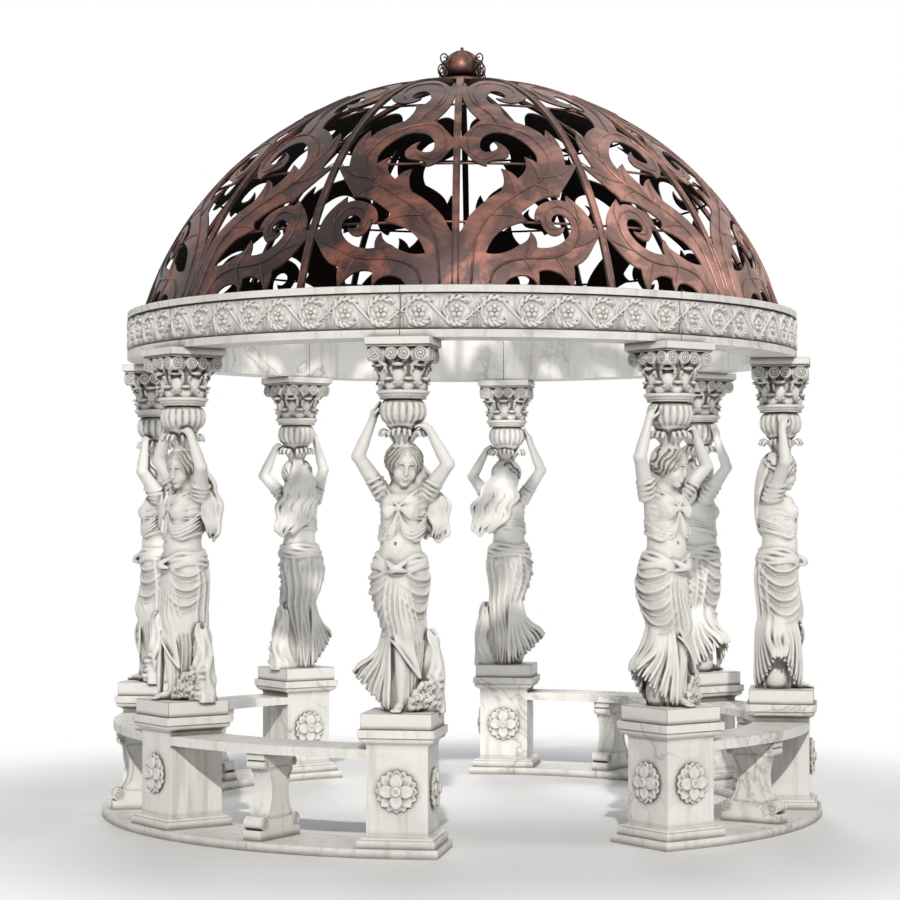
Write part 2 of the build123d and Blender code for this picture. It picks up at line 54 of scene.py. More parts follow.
scene.view_settings.view_transform = "Standard"
print("nodes loaded:", len(nodes))

# %% [markdown]
# The camera stands where the picture was taken from: twelve metres off, a little to the left of
# the front entrance, at eye height, tilted slightly up. A long lens keeps the columns upright.

# %% Camera
CAMERA_TURN = math.radians(-13.22)
CAMERA_DISTANCE, CAMERA_HEIGHT, CAMERA_TILT = 11.996, 1.535, math.radians(1.6366)
camera_data = bpy.data.cameras.new("photo_camera")
camera_data.sensor_width = 36.0
camera_data.lens = 90.64
camera_data.shift_x = -0.0134
camera = bpy.data.objects.new("photo_camera", camera_data)
camera.location = (CAMERA_DISTANCE * math.sin(CAMERA_TURN),
                   -CAMERA_DISTANCE * math.cos(CAMERA_TURN), CAMERA_HEIGHT)
camera.rotation_euler = (math.pi / 2 + CAMERA_TILT, 0.0, CAMERA_TURN)
scene.collection.objects.link(camera)
scene.camera = camera
print("camera at", tuple(round(v, 3) for v in camera.location))

# %% [markdown]
# Finishes are written as sums of values. A small class wraps a node socket, so that plain
# Python arithmetic on it adds the Math nodes.


# %% Values
class Value:
    """A socket that can be used in arithmetic."""

    def __init__(self, finish, socket):
        self.finish, self.socket = finish, socket

    def _math(self, operation, first, second=None):
        inputs = {0: first} if second is None else {0: first, 1: second}
        return self.finish.add("ShaderNodeMath", {"operation": operation}, inputs)

    def __add__(self, other):
        return self._math("ADD", self, other)

    def __sub__(self, other):
        return self._math("SUBTRACT", self, other)

    def __rsub__(self, other):
        return self._math("SUBTRACT", other, self)

    def __mul__(self, other):
        return self._math("MULTIPLY", self, other)

    def __pow__(self, other):
        return self._math("POWER", self, other)

    def __abs__(self):
        return self._math("ABSOLUTE", self)

    __radd__, __rmul__ = __add__, __mul__

    def between(self, low, high):
        """0 below low, 1 above high, smooth between."""
        return self.finish.add("ShaderNodeMapRange", {"interpolation_type": "SMOOTHSTEP"},
                               {"Value": self, "From Min": low, "From Max": high})


print("values ready")

# %% [markdown]
# A finish is one material. Its method add makes any kind of node from its settings and what goes
# into its sockets, and the other methods are short names for the nodes that this object needs.


# %% Finishes
class Finish:
    """One material and the nodes that feed its Principled shader."""

    def __init__(self, name):
        self.material = bpy.data.materials.new(name)
        self.material.use_nodes = True
        self.tree = self.material.node_tree
        self.shader = self.tree.nodes["Principled BSDF"]

    def add(self, kind, settings=None, inputs=None, output=0):
        """Any node: its settings come first, then the values or links of its sockets."""
        node = self.tree.nodes.new(kind)
        for name, value in (settings or {}).items():
            setattr(node, name, value)
        for key, value in (inputs or {}).items():
            self.feed(node.inputs[key], value)
        return Value(self, node.outputs[output])

    def feed(self, socket, value):
        if isinstance(value, Value):
            self.tree.links.new(value.socket, socket)
        else:
            socket.default_value = value

    def set(self, **inputs):
        for name, value in inputs.items():
            self.feed(self.shader.inputs[name.replace("_", " ")], value)

    def place(self):
        return self.add("ShaderNodeNewGeometry")

    def noise(self, scale, detail=5.0, rough=0.55, distort=0.0, where=None):
        return self.add("ShaderNodeTexNoise", {}, {
            "Vector": where or self.place(), "Scale": scale, "Detail": detail,
            "Roughness": rough, "Distortion": distort})

    def blend(self, factor, first, second):
        # the colour sockets of a Mix node are 6 and 7, and its colour result is 2
        return self.add("ShaderNodeMix", {"data_type": "RGBA"},
                        {0: factor, 6: first, 7: second}, output=2)

    def vector(self, operation, *inputs, output="Vector"):
        return self.add("ShaderNodeVectorMath", {"operation": operation},
                        dict(enumerate(inputs)), output)

    def hollow(self, reach):
        """1 in creases and corners, 0 on open surface."""
        return 1.0 - self.add("ShaderNodeAmbientOcclusion", {"samples": 5}, {"Distance": reach},
                              output="AO")

    def bump(self, height, strength, distance):
        self.set(Normal=self.add("ShaderNodeBump", {}, {
            "Height": height, "Strength": strength, "Distance": distance}))


print("finishes ready")

# %% [markdown]
# The marble is a warm white stone with cloudy grey patches, soft veins and faint upright streaks
# where rain has run down. A picture of stone would have to be unwrapped onto every block, so
# noise in space is used instead: it needs no unwrapping and never repeats. Occlusion at two scales
# paints shade and some grime into the creases, so that only the hollows of the carving darken.

# %% Marble recipe
# tone of the painted crease shade, with some grime
SHADE_AND_GRIME_TONE = (0.17, 0.15, 0.13, 1)
STREAK_STRETCH = (11.0, 11.0, 0.8)  # noise squeezed sideways, so that its patches stand upright


def make_marble(name, pale, cloud_tone, vein_tone, vein_share, streak_share, reach, shade_grime_share):
    """One marble finish; the shares set how strongly veins, streaks and painted shade with grime show."""
    marble = Finish(name)
    cloud = marble.noise(1.6, 6.0, 0.6, 1.0).between(0.38, 0.72)
    vein_noise = marble.noise(1.7, 9.0, 0.6, 1.0)
    vein_line = 1.0 - abs(vein_noise - 0.5).between(0.0, 0.022)
    vein = vein_line * marble.noise(0.9, 3.0).between(0.44, 0.6)
    upright = marble.add("ShaderNodeMapping", {},
                         {"Vector": marble.place(), "Scale": STREAK_STRETCH})
    streak = marble.noise(1.6, 5.0, 0.6, 0.6, upright).between(0.48, 0.74)
    body = marble.blend(cloud * 0.75, pale, cloud_tone)
    body = marble.blend(vein * vein_share + streak * streak_share, body, vein_tone)
    # painted shade with some grime: occlusion at two scales darkens the creases and hollows
    crease_shade = (marble.hollow(reach) * 2.1) ** 1.25 + marble.hollow(reach * 3.5) * 0.7
    shade_and_grime = crease_shade * (0.6 + marble.noise(9.0) * 0.7)
    colour = marble.blend((shade_and_grime * shade_grime_share).between(0.0, 1.0), body, SHADE_AND_GRIME_TONE)
    marble.set(Base_Color=colour, Roughness=0.40 + marble.noise(26.0) * 0.22,
               Specular_IOR_Level=0.42)
    marble.bump(marble.noise(160.0, 4.0) + marble.noise(45.0, 3.0) * 0.8, 0.16, 0.0012)
    return marble.material


print("marble recipe ready")

# %% [markdown]
# Three finishes share the recipe. The figures and the frieze are pale and hold painted shade
# and grime in their fine cuts, and the plain blocks show longer veins and more streaks.

# %% Marble finishes
WARM_VEIN, DARK_VEIN = (0.50, 0.47, 0.43, 1), (0.33, 0.30, 0.265, 1)
carved_marble = make_marble(
    "carved_marble", (0.77, 0.755, 0.72, 1), (0.67, 0.665, 0.65, 1), WARM_VEIN,
    vein_share=0.20, streak_share=0.12, reach=0.022, shade_grime_share=1.15)
frieze_marble = make_marble(
    "frieze_marble", (0.775, 0.76, 0.73, 1), (0.68, 0.675, 0.66, 1), WARM_VEIN,
    vein_share=0.15, streak_share=0.0, reach=0.010, shade_grime_share=1.15)
block_marble = make_marble(
    "block_marble", (0.785, 0.77, 0.735, 1), (0.60, 0.59, 0.57, 1), DARK_VEIN,
    vein_share=0.55, streak_share=0.42, reach=0.032, shade_grime_share=0.75)
print("marble finishes:", carved_marble.name, frieze_marble.name, block_marble.name)

# %% [markdown]
# The dome is sheet metal with a dark brown patina, rubbed back to copper in places and weathered
# grey. Two scales of noise make the patches. Painted light pales the side towards the right front
# and painted shade darkens the far side, so the way out from the middle of the dome is compared
# with one fixed direction. The inner faces are painted almost black as shade, which that way and
# the surface normal tell.

# %% Dome metal
PATINA, COPPER = (0.036, 0.019, 0.018, 1), (0.31, 0.108, 0.064, 1)
GREY_BLOOM, DARK_STREAK = (0.105, 0.075, 0.076, 1), (0.022, 0.014, 0.013, 1)
# painted sheen for the side towards the right front, painted shade for the far side
PAINTED_SHEEN, PAINTED_SIDE_SHADE = (0.58, 0.335, 0.275, 1), (0.030, 0.020, 0.022, 1)
# painted shade for the inner faces of the sheets
INNER_PAINTED_SHADE = (0.006, 0.004, 0.004, 1)
# the second direction points to the side of the dome that gets the painted light
DOME_MIDDLE, LIT_SIDE = (0.0, 0.0, 2.08), (0.74, -0.46, 0.48)
dome_metal = Finish("dome_bronze")
rubbed = dome_metal.noise(4.2, 8.0, 0.66, 0.8).between(0.44, 0.68)
bloom = dome_metal.noise(1.9, 6.0, 0.6, 0.4).between(0.42, 0.74)
streaks = dome_metal.noise(38.0, 5.0, 0.62)
outward = dome_metal.vector("NORMALIZE", dome_metal.vector("SUBTRACT", dome_metal.place(), DOME_MIDDLE))
normal = dome_metal.add("ShaderNodeNewGeometry", output="True Normal")
outer = dome_metal.vector("DOT_PRODUCT", outward, normal, output="Value").between(-0.35, 0.25)
# share of the painted light on the right front side; the far side gets painted shade
lit_side_share = dome_metal.vector("DOT_PRODUCT", outward, LIT_SIDE, output="Value").between(0.25, 1.0)
tone = dome_metal.blend(rubbed, PATINA, COPPER)
for share, colour in ((bloom * 0.55, GREY_BLOOM), (streaks.between(0.45, 0.8) * 0.45, DARK_STREAK),
                      (lit_side_share * (0.30 + rubbed * 0.45), PAINTED_SHEEN), ((1.0 - lit_side_share) * 0.35, PAINTED_SIDE_SHADE)):
    tone = dome_metal.blend(share, tone, colour)
# inner faces painted almost black as shade
tone = dome_metal.blend(outer, INNER_PAINTED_SHADE, tone)
dome_metal.set(Base_Color=tone, Metallic=1.0 - outer * 0.38,
               Roughness=0.72 - outer * 0.38 + streaks * 0.16)
dome_metal.bump(streaks + dome_metal.noise(90.0, 3.0) * 0.6, 0.25, 0.002)
print("dome metal:", dome_metal.material.name)

# %% [markdown]
# Each CAD node that stays in view takes one of these finishes.

# %% Finishes on the CAD nodes
for node_name, node in nodes.items():
    if node_name.startswith(("dome", "finial")):
        finish = dome_metal.material
    elif node_name.startswith(("caryatid", "capital")):
        finish = carved_marble
    else:
        finish = block_marble
    node.data.materials.clear()
    node.data.materials.append(finish)
print("finishes set on", len(nodes), "nodes")

# %% [markdown]
# The figures, capitals and flowers are carved stone, full of rounded forms that melt into one
# another. Joining hundreds of spheres and tubes as meshes would leave seams. Instead a block of
# voxels holds the distance to the surface, forms are pressed into it with a soft minimum, and
# OpenVDB turns the result into one closed skin. Carved pieces are worked in millimetres.


# %% Soft joins and curves
def soft_min(a, b, soft):
    """The smaller of two distances, rounded where they meet."""
    if soft <= 0:
        return np.minimum(a, b)
    mix = np.clip(0.5 + 0.5 * (b - a) / soft, 0.0, 1.0)
    return b + (a - b) * mix - soft * mix * (1.0 - mix)


def curve_through(points, steps):
    """A smooth line through given points (Catmull-Rom)."""
    p = np.asarray(points, float)
    p = np.vstack([2 * p[0] - p[1], p, 2 * p[-1] - p[-2]])
    t = np.linspace(0, 1, steps, endpoint=False)[:, None]
    spans = []
    for a, b, c, d in zip(p[:-3], p[1:-2], p[2:-1], p[3:]):
        spans.append(0.5 * (2 * b + (c - a) * t + (2 * a - 5 * b + 4 * c - d) * t ** 2
                            + (3 * b - a - 3 * c + d) * t ** 3))
    return np.vstack(spans + [p[-2:-1]])


print("soft joins and curves ready")

# %% The carver's block
FAR = 40.0  # millimetres to the surface in an empty voxel


class Clay:
    """A block of voxels holding the distance to the carved surface."""

    def __init__(self, low, high, voxel):
        self.low, self.voxel = np.array(low, float), voxel
        size = np.ceil((np.array(high, float) - self.low) / voxel).astype(int) + 1
        self.field = np.full(size, FAR, np.float32)

    def window(self, low, high, margin):
        """The part of the block near a form, and the places of its voxels."""
        first = np.floor((np.minimum(low, high) - margin - self.low) / self.voxel).astype(int)
        last = np.ceil((np.maximum(low, high) + margin - self.low) / self.voxel).astype(int) + 1
        first, last = np.maximum(first, 0), np.minimum(last, self.field.shape)
        cut = tuple(slice(a, b) for a, b in zip(first, last))
        axes = [self.low[i] + self.voxel * np.arange(first[i], last[i]) for i in range(3)]
        return cut, np.meshgrid(*axes, indexing="ij", sparse=True)

    def press(self, cut, distance, soft, carve=False):
        """Add a form, or carve it away, melted into what is there."""
        here = self.field[cut]
        result = -soft_min(-here, distance, soft) if carve else soft_min(here, distance, soft)
        self.field[cut] = result.astype(np.float32)

    def blob(self, centre, radii, soft=6.0, turn=None, carve=False):
        """An oval ball of clay, turned by a matrix if one is given."""
        centre, radii = np.array(centre, float), np.array(radii, float)
        cut, (x, y, z) = self.window(centre - radii.max(), centre + radii.max(), soft + 8)
        local = np.stack(np.broadcast_arrays(x - centre[0], y - centre[1], z - centre[2]), -1)
        if turn is not None:
            local = local @ turn
        reach = np.sqrt(((local / radii) ** 2).sum(-1))
        slope = np.sqrt(((local / radii ** 2) ** 2).sum(-1)) + 1e-6
        self.press(cut, reach * (reach - 1.0) / slope, soft, carve)

    def roll(self, points, radii, soft=4.0, carve=False, smooth=True, steps=4):
        """A rope of clay along a line, with a radius that may change on the way."""
        line = curve_through(points, steps) if smooth else np.array(points, float)
        radii = np.atleast_1d(np.array(radii, float))
        radius = np.interp(np.linspace(0, 1, len(line)), np.linspace(0, 1, len(radii)), radii)
        cut, (x, y, z) = self.window(line.min(0), line.max(0), radius.max() + soft + 8)
        best = None
        for a, b, ra, rb in zip(line[:-1], line[1:], radius[:-1], radius[1:]):
            d = b - a
            t = np.clip(((x - a[0]) * d[0] + (y - a[1]) * d[1] + (z - a[2]) * d[2])
                        / max(d @ d, 1e-9), 0, 1)
            gap = np.sqrt((x - a[0] - t * d[0]) ** 2 + (y - a[1] - t * d[1]) ** 2
                          + (z - a[2] - t * d[2]) ** 2) - (ra + (rb - ra) * t)
            best = gap if best is None else np.minimum(best, gap)
        self.press(cut, best, soft, carve)

    def mesh(self, name, triangles):
        """The skin of the block as a Blender mesh in metres, thinned to a triangle count."""
        grid = openvdb.FloatGrid(FAR)
        grid.copyFromArray(self.field)
        points, _, quads = grid.convertToPolygons(isovalue=0.0, adaptivity=0.0)
        points = (np.asarray(points) * self.voxel + self.low) / 1000.0
        skin = bpy.data.meshes.new(name)
        skin.from_pydata(points.tolist(), [], np.asarray(quads)[:, ::-1].tolist())
        return thinned(skin, name, triangles)


print("carver's block ready")

# %% [markdown]
# The skin has far more faces than the carving needs. A Decimate modifier collapses it where the
# surface is even, and its result is kept as a plain mesh.


# %% Thinning
def thinned(skin, name, triangles):
    """A smooth-shaded copy of a mesh, collapsed to about a number of triangles."""
    skin.calc_loop_triangles()
    full = len(skin.loop_triangles)
    holder = bpy.data.objects.new(name + "_full", skin)
    scene.collection.objects.link(holder)
    collapse = holder.modifiers.new("thin", "DECIMATE")
    collapse.ratio = min(1.0, triangles / full)
    graph = bpy.context.evaluated_depsgraph_get()
    thin = bpy.data.meshes.new_from_object(holder.evaluated_get(graph))
    bpy.data.objects.remove(holder)
    bpy.data.meshes.remove(skin)
    thin.name = name
    thin.validate()  # drops the doubled faces that a collapse can leave
    thin.polygons.foreach_set("use_smooth", [True] * len(thin.polygons))
    thin.calc_loop_triangles()
    print(f"{name}: {full} triangles thinned to {len(thin.loop_triangles)}")
    return thin


print("thinning ready")

# %% [markdown]
# Each column is a draped figure that steadies a leaf-ringed bowl on its head. The skirt is the
# largest form, so it starts as a table of widths, and the folds are painted on that
# body as low ridges, the way a carver would cut them into a roughed-out block.

# %% Outline of the body
# height, left, right, front and back of the draped body, in millimetres from the column axis
BODY = np.array([
    (643, -58, 70, -66, 122), (700, -66, 72, -70, 126), (789, -86, 78, -74, 128),
    (902, -98, 92, -74, 122), (1016, -90, 98, -88, 114), (1072, -112, 92, -86, 118),
    (1129, -134, 98, -82, 124), (1186, -150, 108, -80, 128), (1243, -150, 112, -82, 128),
    (1300, -139, 106, -84, 120), (1351, -120, 92, -82, 106), (1385, -108, 80, -77, 98),
    (1413, -105, 76, -72, 96), (1470, -107, 88, -64, 106), (1515, -107, 94, -56, 114),
    (1560, -110, 100, -48, 116), (1600, -112, 104, -40, 114), (1640, -104, 100, -22, 104),
    (1660, -82, 82, -6, 92), (1680, -48, 52, -6, 80), (1700, -38, 44, -18, 68),
    (1730, -36, 44, -32, 64)], float)
ROW_STEP = 2.0
rows = np.arange(640.0, 1732.0, ROW_STEP)


def soften(values, width):
    kernel = np.hanning(width)
    padded = np.pad(values, width // 2, "edge")
    return np.convolve(padded, kernel / kernel.sum(), "same")[width // 2:-(width // 2)]


left, right, front, back = (soften(np.interp(rows, BODY[:, 0], BODY[:, i]), 31)
                            for i in (1, 2, 3, 4))
mid_x, mid_y = (left + right) / 2, (front + back) / 2
half_x, half_y = (right - left) / 2, (back - front) / 2


def on_body(degrees, height, lift=0.0):
    """Point on the draped body: 0 degrees in front, +90 on the right of the picture."""
    here = [np.interp(height, rows, values) for values in (mid_x, mid_y, half_x, half_y)]
    a = math.radians(degrees)
    return np.array([here[0] + (here[2] + lift) * math.sin(a),
                     here[1] - (here[3] + lift) * math.cos(a), height])


print("body rows:", len(rows))

# %% Painted folds
ROUND = 112.0  # mean radius that turns degrees into millimetres on the unrolled body
turns = np.radians(np.arange(-180.0, 180.0, 1.0))
relief = np.zeros((len(turns), len(rows)), np.float32)


def fold(points, width, rise, taper=True):
    """A ridge painted on the unrolled body along (degrees, height) points."""
    line = curve_through([(math.radians(d) * ROUND, h) for d, h in points], 5)
    s, h = (turns * ROUND)[:, None], rows[None, :]
    best = np.full(relief.shape, 1e9, np.float32)
    place = np.zeros(relief.shape, np.float32)
    for i, (a, b) in enumerate(zip(line[:-1], line[1:])):
        d = b - a
        for shift in (-2 * math.pi * ROUND, 0.0, 2 * math.pi * ROUND):
            t = np.clip(((s + shift - a[0]) * d[0] + (h - a[1]) * d[1]) / max(d @ d, 1e-9), 0, 1)
            gap = np.hypot(s + shift - a[0] - t * d[0], h - a[1] - t * d[1])
            near = gap < best
            best = np.where(near, gap, best)
            place = np.where(near, (i + t) / (len(line) - 1), place)
    strength = np.sin(np.pi * np.clip(place, 0.04, 0.96)) ** 0.5 if taper else 1.0
    ridge = rise * strength * np.exp(-(best / width) ** 2)
    relief[:] = np.maximum(relief, ridge) * 0.7 + (relief + ridge) * 0.3


print("relief map:", relief.shape)

# %% [markdown]
# The cloth hangs in swags from the sash over both hips, falls in long folds from the knot, and
# stands in upright folds round the back. Over the bust it is gathered towards a knot.

# %% Skirt folds
# drop below the sash, width and rise of each hip swag
SWAGS = ((0, 8, 18), (25, 4.5, 10), (60, 8, 18), (88, 4.5, 11),
         (126, 8, 17), (152, 5, 10), (190, 8, 15), (224, 6, 11))
for drop, width, rise in SWAGS:
    z, sag = 1268 - drop, drop * 0.16
    fold([(-152, z + 66), (-124, z + 22), (-86, z - 20 - sag), (-46, z - 14 - sag), (-14, z + 26)],
         width, rise)
for drop, width, rise in SWAGS[:6]:
    z, sag = 1262 - drop, drop * 0.12
    fold([(12, z + 24), (42, z - 16 - sag), (72, z - 20 - sag), (108, z + 18)], width, rise - 1)
# angle at the knot, angle at the end, end height and rise of each long fold
LONG_FOLDS = ((-16, -34, 965, 12), (-8, -18, 945, 13), (0, -4, 950, 11), (6, 12, 960, 10),
              (10, 28, 980, 10), (14, 44, 1000, 10), (18, 60, 1020, 9))
for start, end, low, rise in LONG_FOLDS:
    fold([(start, 1266), ((start * 2 + end) / 3, 1160), (end * 0.8, 1066), (end, low)], 7, rise)
# upright folds round the back sweep towards the flare
for i in range(12):
    top, sway = 96 + 14 * i, 6 * math.sin(i * 2.1)
    fold([(top - 6, 1290 - 34 * (i % 3)), (top - 2 + sway, 1150), (top + 2 + sway, 960),
          (top + 8 - sway, 790), (top + 14 + sway, 640)], 9, 10 + 4 * (i % 2), taper=False)
for i in range(6):
    fold([(26 + 12 * i, 960), (28 + 12 * i, 800), (30 + 12 * i, 640)], 7, 9, taper=False)
print("skirt folds painted, highest", round(float(relief.max()), 1), "mm")

# %% Bodice folds and thighs
for side in (-1, 1):
    for i in range(4):
        fold([(side * 2 - 8, 1566 - 4 * i), (side * (26 + 3 * i), 1600 - 22 * i),
              (side * (62 + 5 * i), 1634 - 30 * i), (side * (104 + 6 * i), 1640 - 34 * i)], 6, 7)
    for i in range(5):
        fold([(side * 3 - 8, 1544 - 10 * i), (side * 24 - 4, 1488 - 14 * i),
              (side * 52, 1456 - 10 * i), (side * 88, 1482 - 13 * i), (side * 140, 1512 - 16 * i),
              (side * 178, 1520 - 18 * i)], 6, 10)
# the thighs swell under the cloth: degrees, height, reach across, reach upwards and rise
swell = np.zeros_like(relief)
for degrees, height, wide, tall, rise in ((16, 1030, 46, 90, 22), (-26, 1100, 40, 80, 12)):
    swell += rise * np.exp(-(((turns - math.radians(degrees))[:, None] * ROUND / wide) ** 2)
                           - ((rows[None, :] - height) / tall) ** 2)
print("folds painted:", relief.shape, "highest", round(float(relief.max()), 1), "mm")

# %% [markdown]
# The table and the folds now become one distance: the row at a voxel's height gives an oval, and
# the painted relief pushes its surface out. Bust and belly are soft blobs melted into it.

# %% Press the body
FIGURE_LOW, FIGURE_TOP, BODY_TOP = 643, 2062, 1724.0
FIGURE_VOXEL, FIGURE_TRIANGLES = 3.6, 56000
clay = Clay((-262, -196, FIGURE_LOW - 8), (262, 200, FIGURE_TOP + 8), FIGURE_VOXEL)
cut, (x, y, z) = clay.window((-250, -190, FIGURE_LOW), (250, 190, 1728), 8)
level = np.clip(((z - rows[0]) / ROW_STEP).round().astype(int), 0, len(rows) - 1)
px, py = (x - mid_x[level]) / half_x[level], (y - mid_y[level]) / half_y[level]
column = np.clip(np.degrees(np.arctan2(px, -py) + np.pi).astype(int), 0, 359)
reach = np.sqrt(px ** 2 + py ** 2) + 1e-6
slope = np.sqrt((px / half_x[level]) ** 2 + (py / half_y[level]) ** 2) + 1e-6
cloth = (relief + swell)[column, np.broadcast_to(level, column.shape)]
clay.press(cut, np.maximum(reach * (reach - 1.0) / slope - cloth, z - BODY_TOP), 1.0)
clay.blob((-6, -8, 1538), (86, 58, 88), 20)
for side in (-1, 1):
    clay.blob((-6 + side * 46, -46, 1546), (41, 38, 43), 10)
    clay.blob((-6 + side * 36, -30, 1588), (48, 34, 42), 18)
    clay.blob((-8 + side * 34, -34, 1496), (44, 38, 38), 16)
clay.blob((-8, -34, 1500), (40, 42, 60), 14)
clay.blob((-16, -50, 1390), (60, 32, 50), 22)
clay.blob((-20, -82, 1404), (6, 10, 8), 5, carve=True)
print("body pressed:", clay.field.shape, "voxels")

# %% [markdown]
# The sash is four twisted ropes of cloth that dip to a knot in front. The bodice is drawn from
# a knot between the breasts, over the bust to the shoulders, and ends in a hem under it.

# %% Sash and knot
for i, (drop, radius) in enumerate(((0, 12), (19, 14), (40, 14), (58, 11))):
    ring = []
    for degrees in range(-180, 181, 20):
        dip = 44 * math.exp(-(degrees / 38.0) ** 2)
        twist = 7 * math.sin(math.radians(degrees * 3 + 75 * i))
        ring.append(on_body(degrees, 1352 - drop - dip * (1 - 0.16 * i) + twist, 2))
    clay.roll(ring, radius, 2.5, steps=3)
clay.roll([(-56, -90, 1322), (-30, -116, 1300), (0, -122, 1288), (30, -98, 1280)], (9, 15, 15, 8), 3)
clay.roll([(30, -92, 1322), (4, -118, 1302), (-22, -118, 1284), (-52, -94, 1278)], (9, 14, 14, 8), 3)
print("sash and knot added")

# %% Neckline and bodice
for side in (-1, 1):
    for inset, radius in ((0, 7), (13, 6)):
        clay.roll([(side * (80 - inset) - 2, 18, 1656 - inset),
                   (side * (46 - inset / 2) - 4, -46, 1622 - inset), (-8, -72, 1570)], radius, 4)
    hem = [on_body(degrees, height, 6) for degrees, height in (
        (side * 2 - 6, 1526), (side * 22 - 4, 1462), (side * 48, 1418),
        (side * 78, 1434), (side * 120, 1452), (side * 178, 1458))]
    clay.roll(hem, (8, 10, 10, 9, 9), 3)
clay.blob((-8, -76, 1563), (13, 12, 12), 4)
for side in (-1, 1):
    bust = np.array((-6 + side * 46, -46, 1546))
    for i in range(8):
        s = i / 7
        lean = math.radians(64 - 108 * s)
        over = bust + (side * (10 + 14 * math.sin(math.pi * s)), -36 * math.cos(lean) ** 0.5,
                       40 * math.sin(lean))
        start = np.array((-8 + side * 8, -77, 1567 - 8 * s))
        end = np.array((side * (70 + 36 * s) - 4, 22 + 4 * s, 1652 - 138 * s))
        clay.roll([start, (start * 0.45 + over * 0.55) + (0, -3, 0), over,
                   (over * 0.45 + end * 0.55) + (side * 4, -6, 0), end], (3, 4, 4.5, 4, 2), 5)
    for drop, radius in ((0, 6), (15, 7), (32, 8), (50, 7)):
        clay.roll([(-8 + side * 4, -74, 1552 - drop * 0.3), (side * 22 - 6, -80 + drop * 0.14, 1502 - drop),
                   (side * 56 - 4, -66, 1478 - drop), (side * 92 - 2, -14, 1502 - drop),
                   (side * 104, 36, 1536 - drop)], (4, radius, radius + 1, radius, 4), 3)
print("neckline and bodice folds added")

# %% [markdown]
# Both arms are raised: one hand lies against the bowl and the other bends over the ring of
# leaves. The short sleeves are ropes of clay gathered round the shoulder.


# %% Arms
def arm(shoulder, elbow, wrist, side):
    """A bare arm with four gathered folds of sleeve round its shoulder."""
    shoulder, elbow, wrist = (np.array(p, float) for p in (shoulder, elbow, wrist))
    upper, fore = elbow - shoulder, wrist - elbow
    clay.roll([shoulder, shoulder + upper * 0.45, elbow], (45, 37, 29), 14)
    clay.roll([elbow, elbow + fore * 0.3, wrist], (28, 29, 18), 8)
    clay.blob(elbow + np.array((side * 6, 4, -2)), (24, 24, 24), 8)
    for i in range(4):
        ring = shoulder + upper * (0.02 + 0.12 * i)
        drop = np.array((-side * 10, 0, -26 + 4 * i))
        clay.roll([ring + (side * -34, 30, 12), ring + (side * 8, 46, 2) + drop * 0.6,
                   ring + (side * 36, 6, -4) + drop, ring + (side * 16, -40, -2) + drop * 0.6,
                   ring + (side * -32, -28, 10)], (7, 10, 10, 10, 7), 3)


arm((-100, 44, 1630), (-204, -26, 1803), (-140, -10, 1966), -1)
arm((100, 44, 1628), (211, -20, 1765), (127, -30, 1922), 1)
print("arms added")

# %% Hands
clay.roll([(-140, -10, 1966), (-130, -14, 2000)], (18, 20), 6, smooth=False)
clay.blob((-126, -14, 2002), (13, 22, 26), 6)
for i in range(4):
    base = np.array((-122, -31 + 12 * i, 2016))
    clay.roll([base, base + (8, i - 2, 18), base + (16, i - 2, 34 - 3 * abs(i - 1.5))], (7.5, 7, 6), 2)
clay.roll([(-128, -32, 1990), (-116, -46, 2004), (-104, -46, 2018)], (8, 7.5, 6), 3)
clay.roll([(127, -30, 1922), (106, -34, 1938)], (18, 19), 6, smooth=False)
clay.blob((106, -34, 1937), (24, 21, 13), 6)
for i in range(4):
    base = np.array((94, -51 + 12 * i, 1939))
    clay.roll([base, base + (-15, 0, 1), base + (-28, 0, -7)], (7.5, 7, 6), 2)
print("hands added")

# %% [markdown]
# The head is turned and bowed. Its face is a plain calm one, laid out on the usual thirds from
# soft blobs and thin rolls.

# %% Head and face
yaw, nod, lean = math.radians(21), math.radians(-12), math.radians(4)
turn_z = np.array([[math.cos(yaw), -math.sin(yaw), 0], [math.sin(yaw), math.cos(yaw), 0], [0, 0, 1]])
turn_x = np.array([[1, 0, 0], [0, math.cos(nod), math.sin(nod)], [0, -math.sin(nod), math.cos(nod)]])
turn_y = np.array([[math.cos(lean), 0, math.sin(lean)], [0, 1, 0], [-math.sin(lean), 0, math.cos(lean)]])
HEAD = turn_z @ turn_y @ turn_x
HEAD_AT = np.array((6.0, -4.0, 1766.0))


def head_point(*p):
    return HEAD_AT + HEAD @ np.array(p, float)


def head_blob(p, radii, soft, carve=False):
    clay.blob(head_point(*p), radii, soft, HEAD, carve)


def head_roll(points, radii, soft):
    clay.roll([head_point(*p) for p in points], radii, soft)


clay.roll([(2, 30, 1650), (4, 16, 1690), tuple(head_point(0, 14, -52))], (46, 38, 40), 14)
head_blob((0, 8, 20), (62, 76, 68), 4)
head_blob((0, -20, -26), (49, 52, 66), 18)
head_blob((0, -52, -80), (20, 18, 16), 16)
for side in (-1, 1):
    head_blob((side * 26, -46, -38), (22, 19, 26), 14)
    head_blob((side * 20, -76, -4), (13, 8, 7.5), 6, carve=True)
    head_blob((side * 20, -63, -5), (10.5, 9, 8), 2)
    head_roll([(side * 9, -68, -1), (side * 20, -73, 4), (side * 32, -63, -1)], (2.2, 2.6, 2), 2)
    head_roll([(side * 7, -73, 10), (side * 20, -73, 14), (side * 36, -60, 9)], (3.5, 3.5, 3), 6)
    head_blob((side * 6.5, -75, -36), (5, 5, 4.5), 5)
head_roll([(0, -71, 6), (0, -77, -14), (0, -81, -33)], (5.5, 6, 6.5), 8)
head_blob((0, -64, -48), (15, 11.5, 14), 8)
head_roll([(-14, -69, -57), (-5, -77, -54.5), (0, -76, -56), (5, -77, -54.5), (14, -69, -57)],
          (2.2, 3.4, 3.0, 3.4, 2.2), 5)
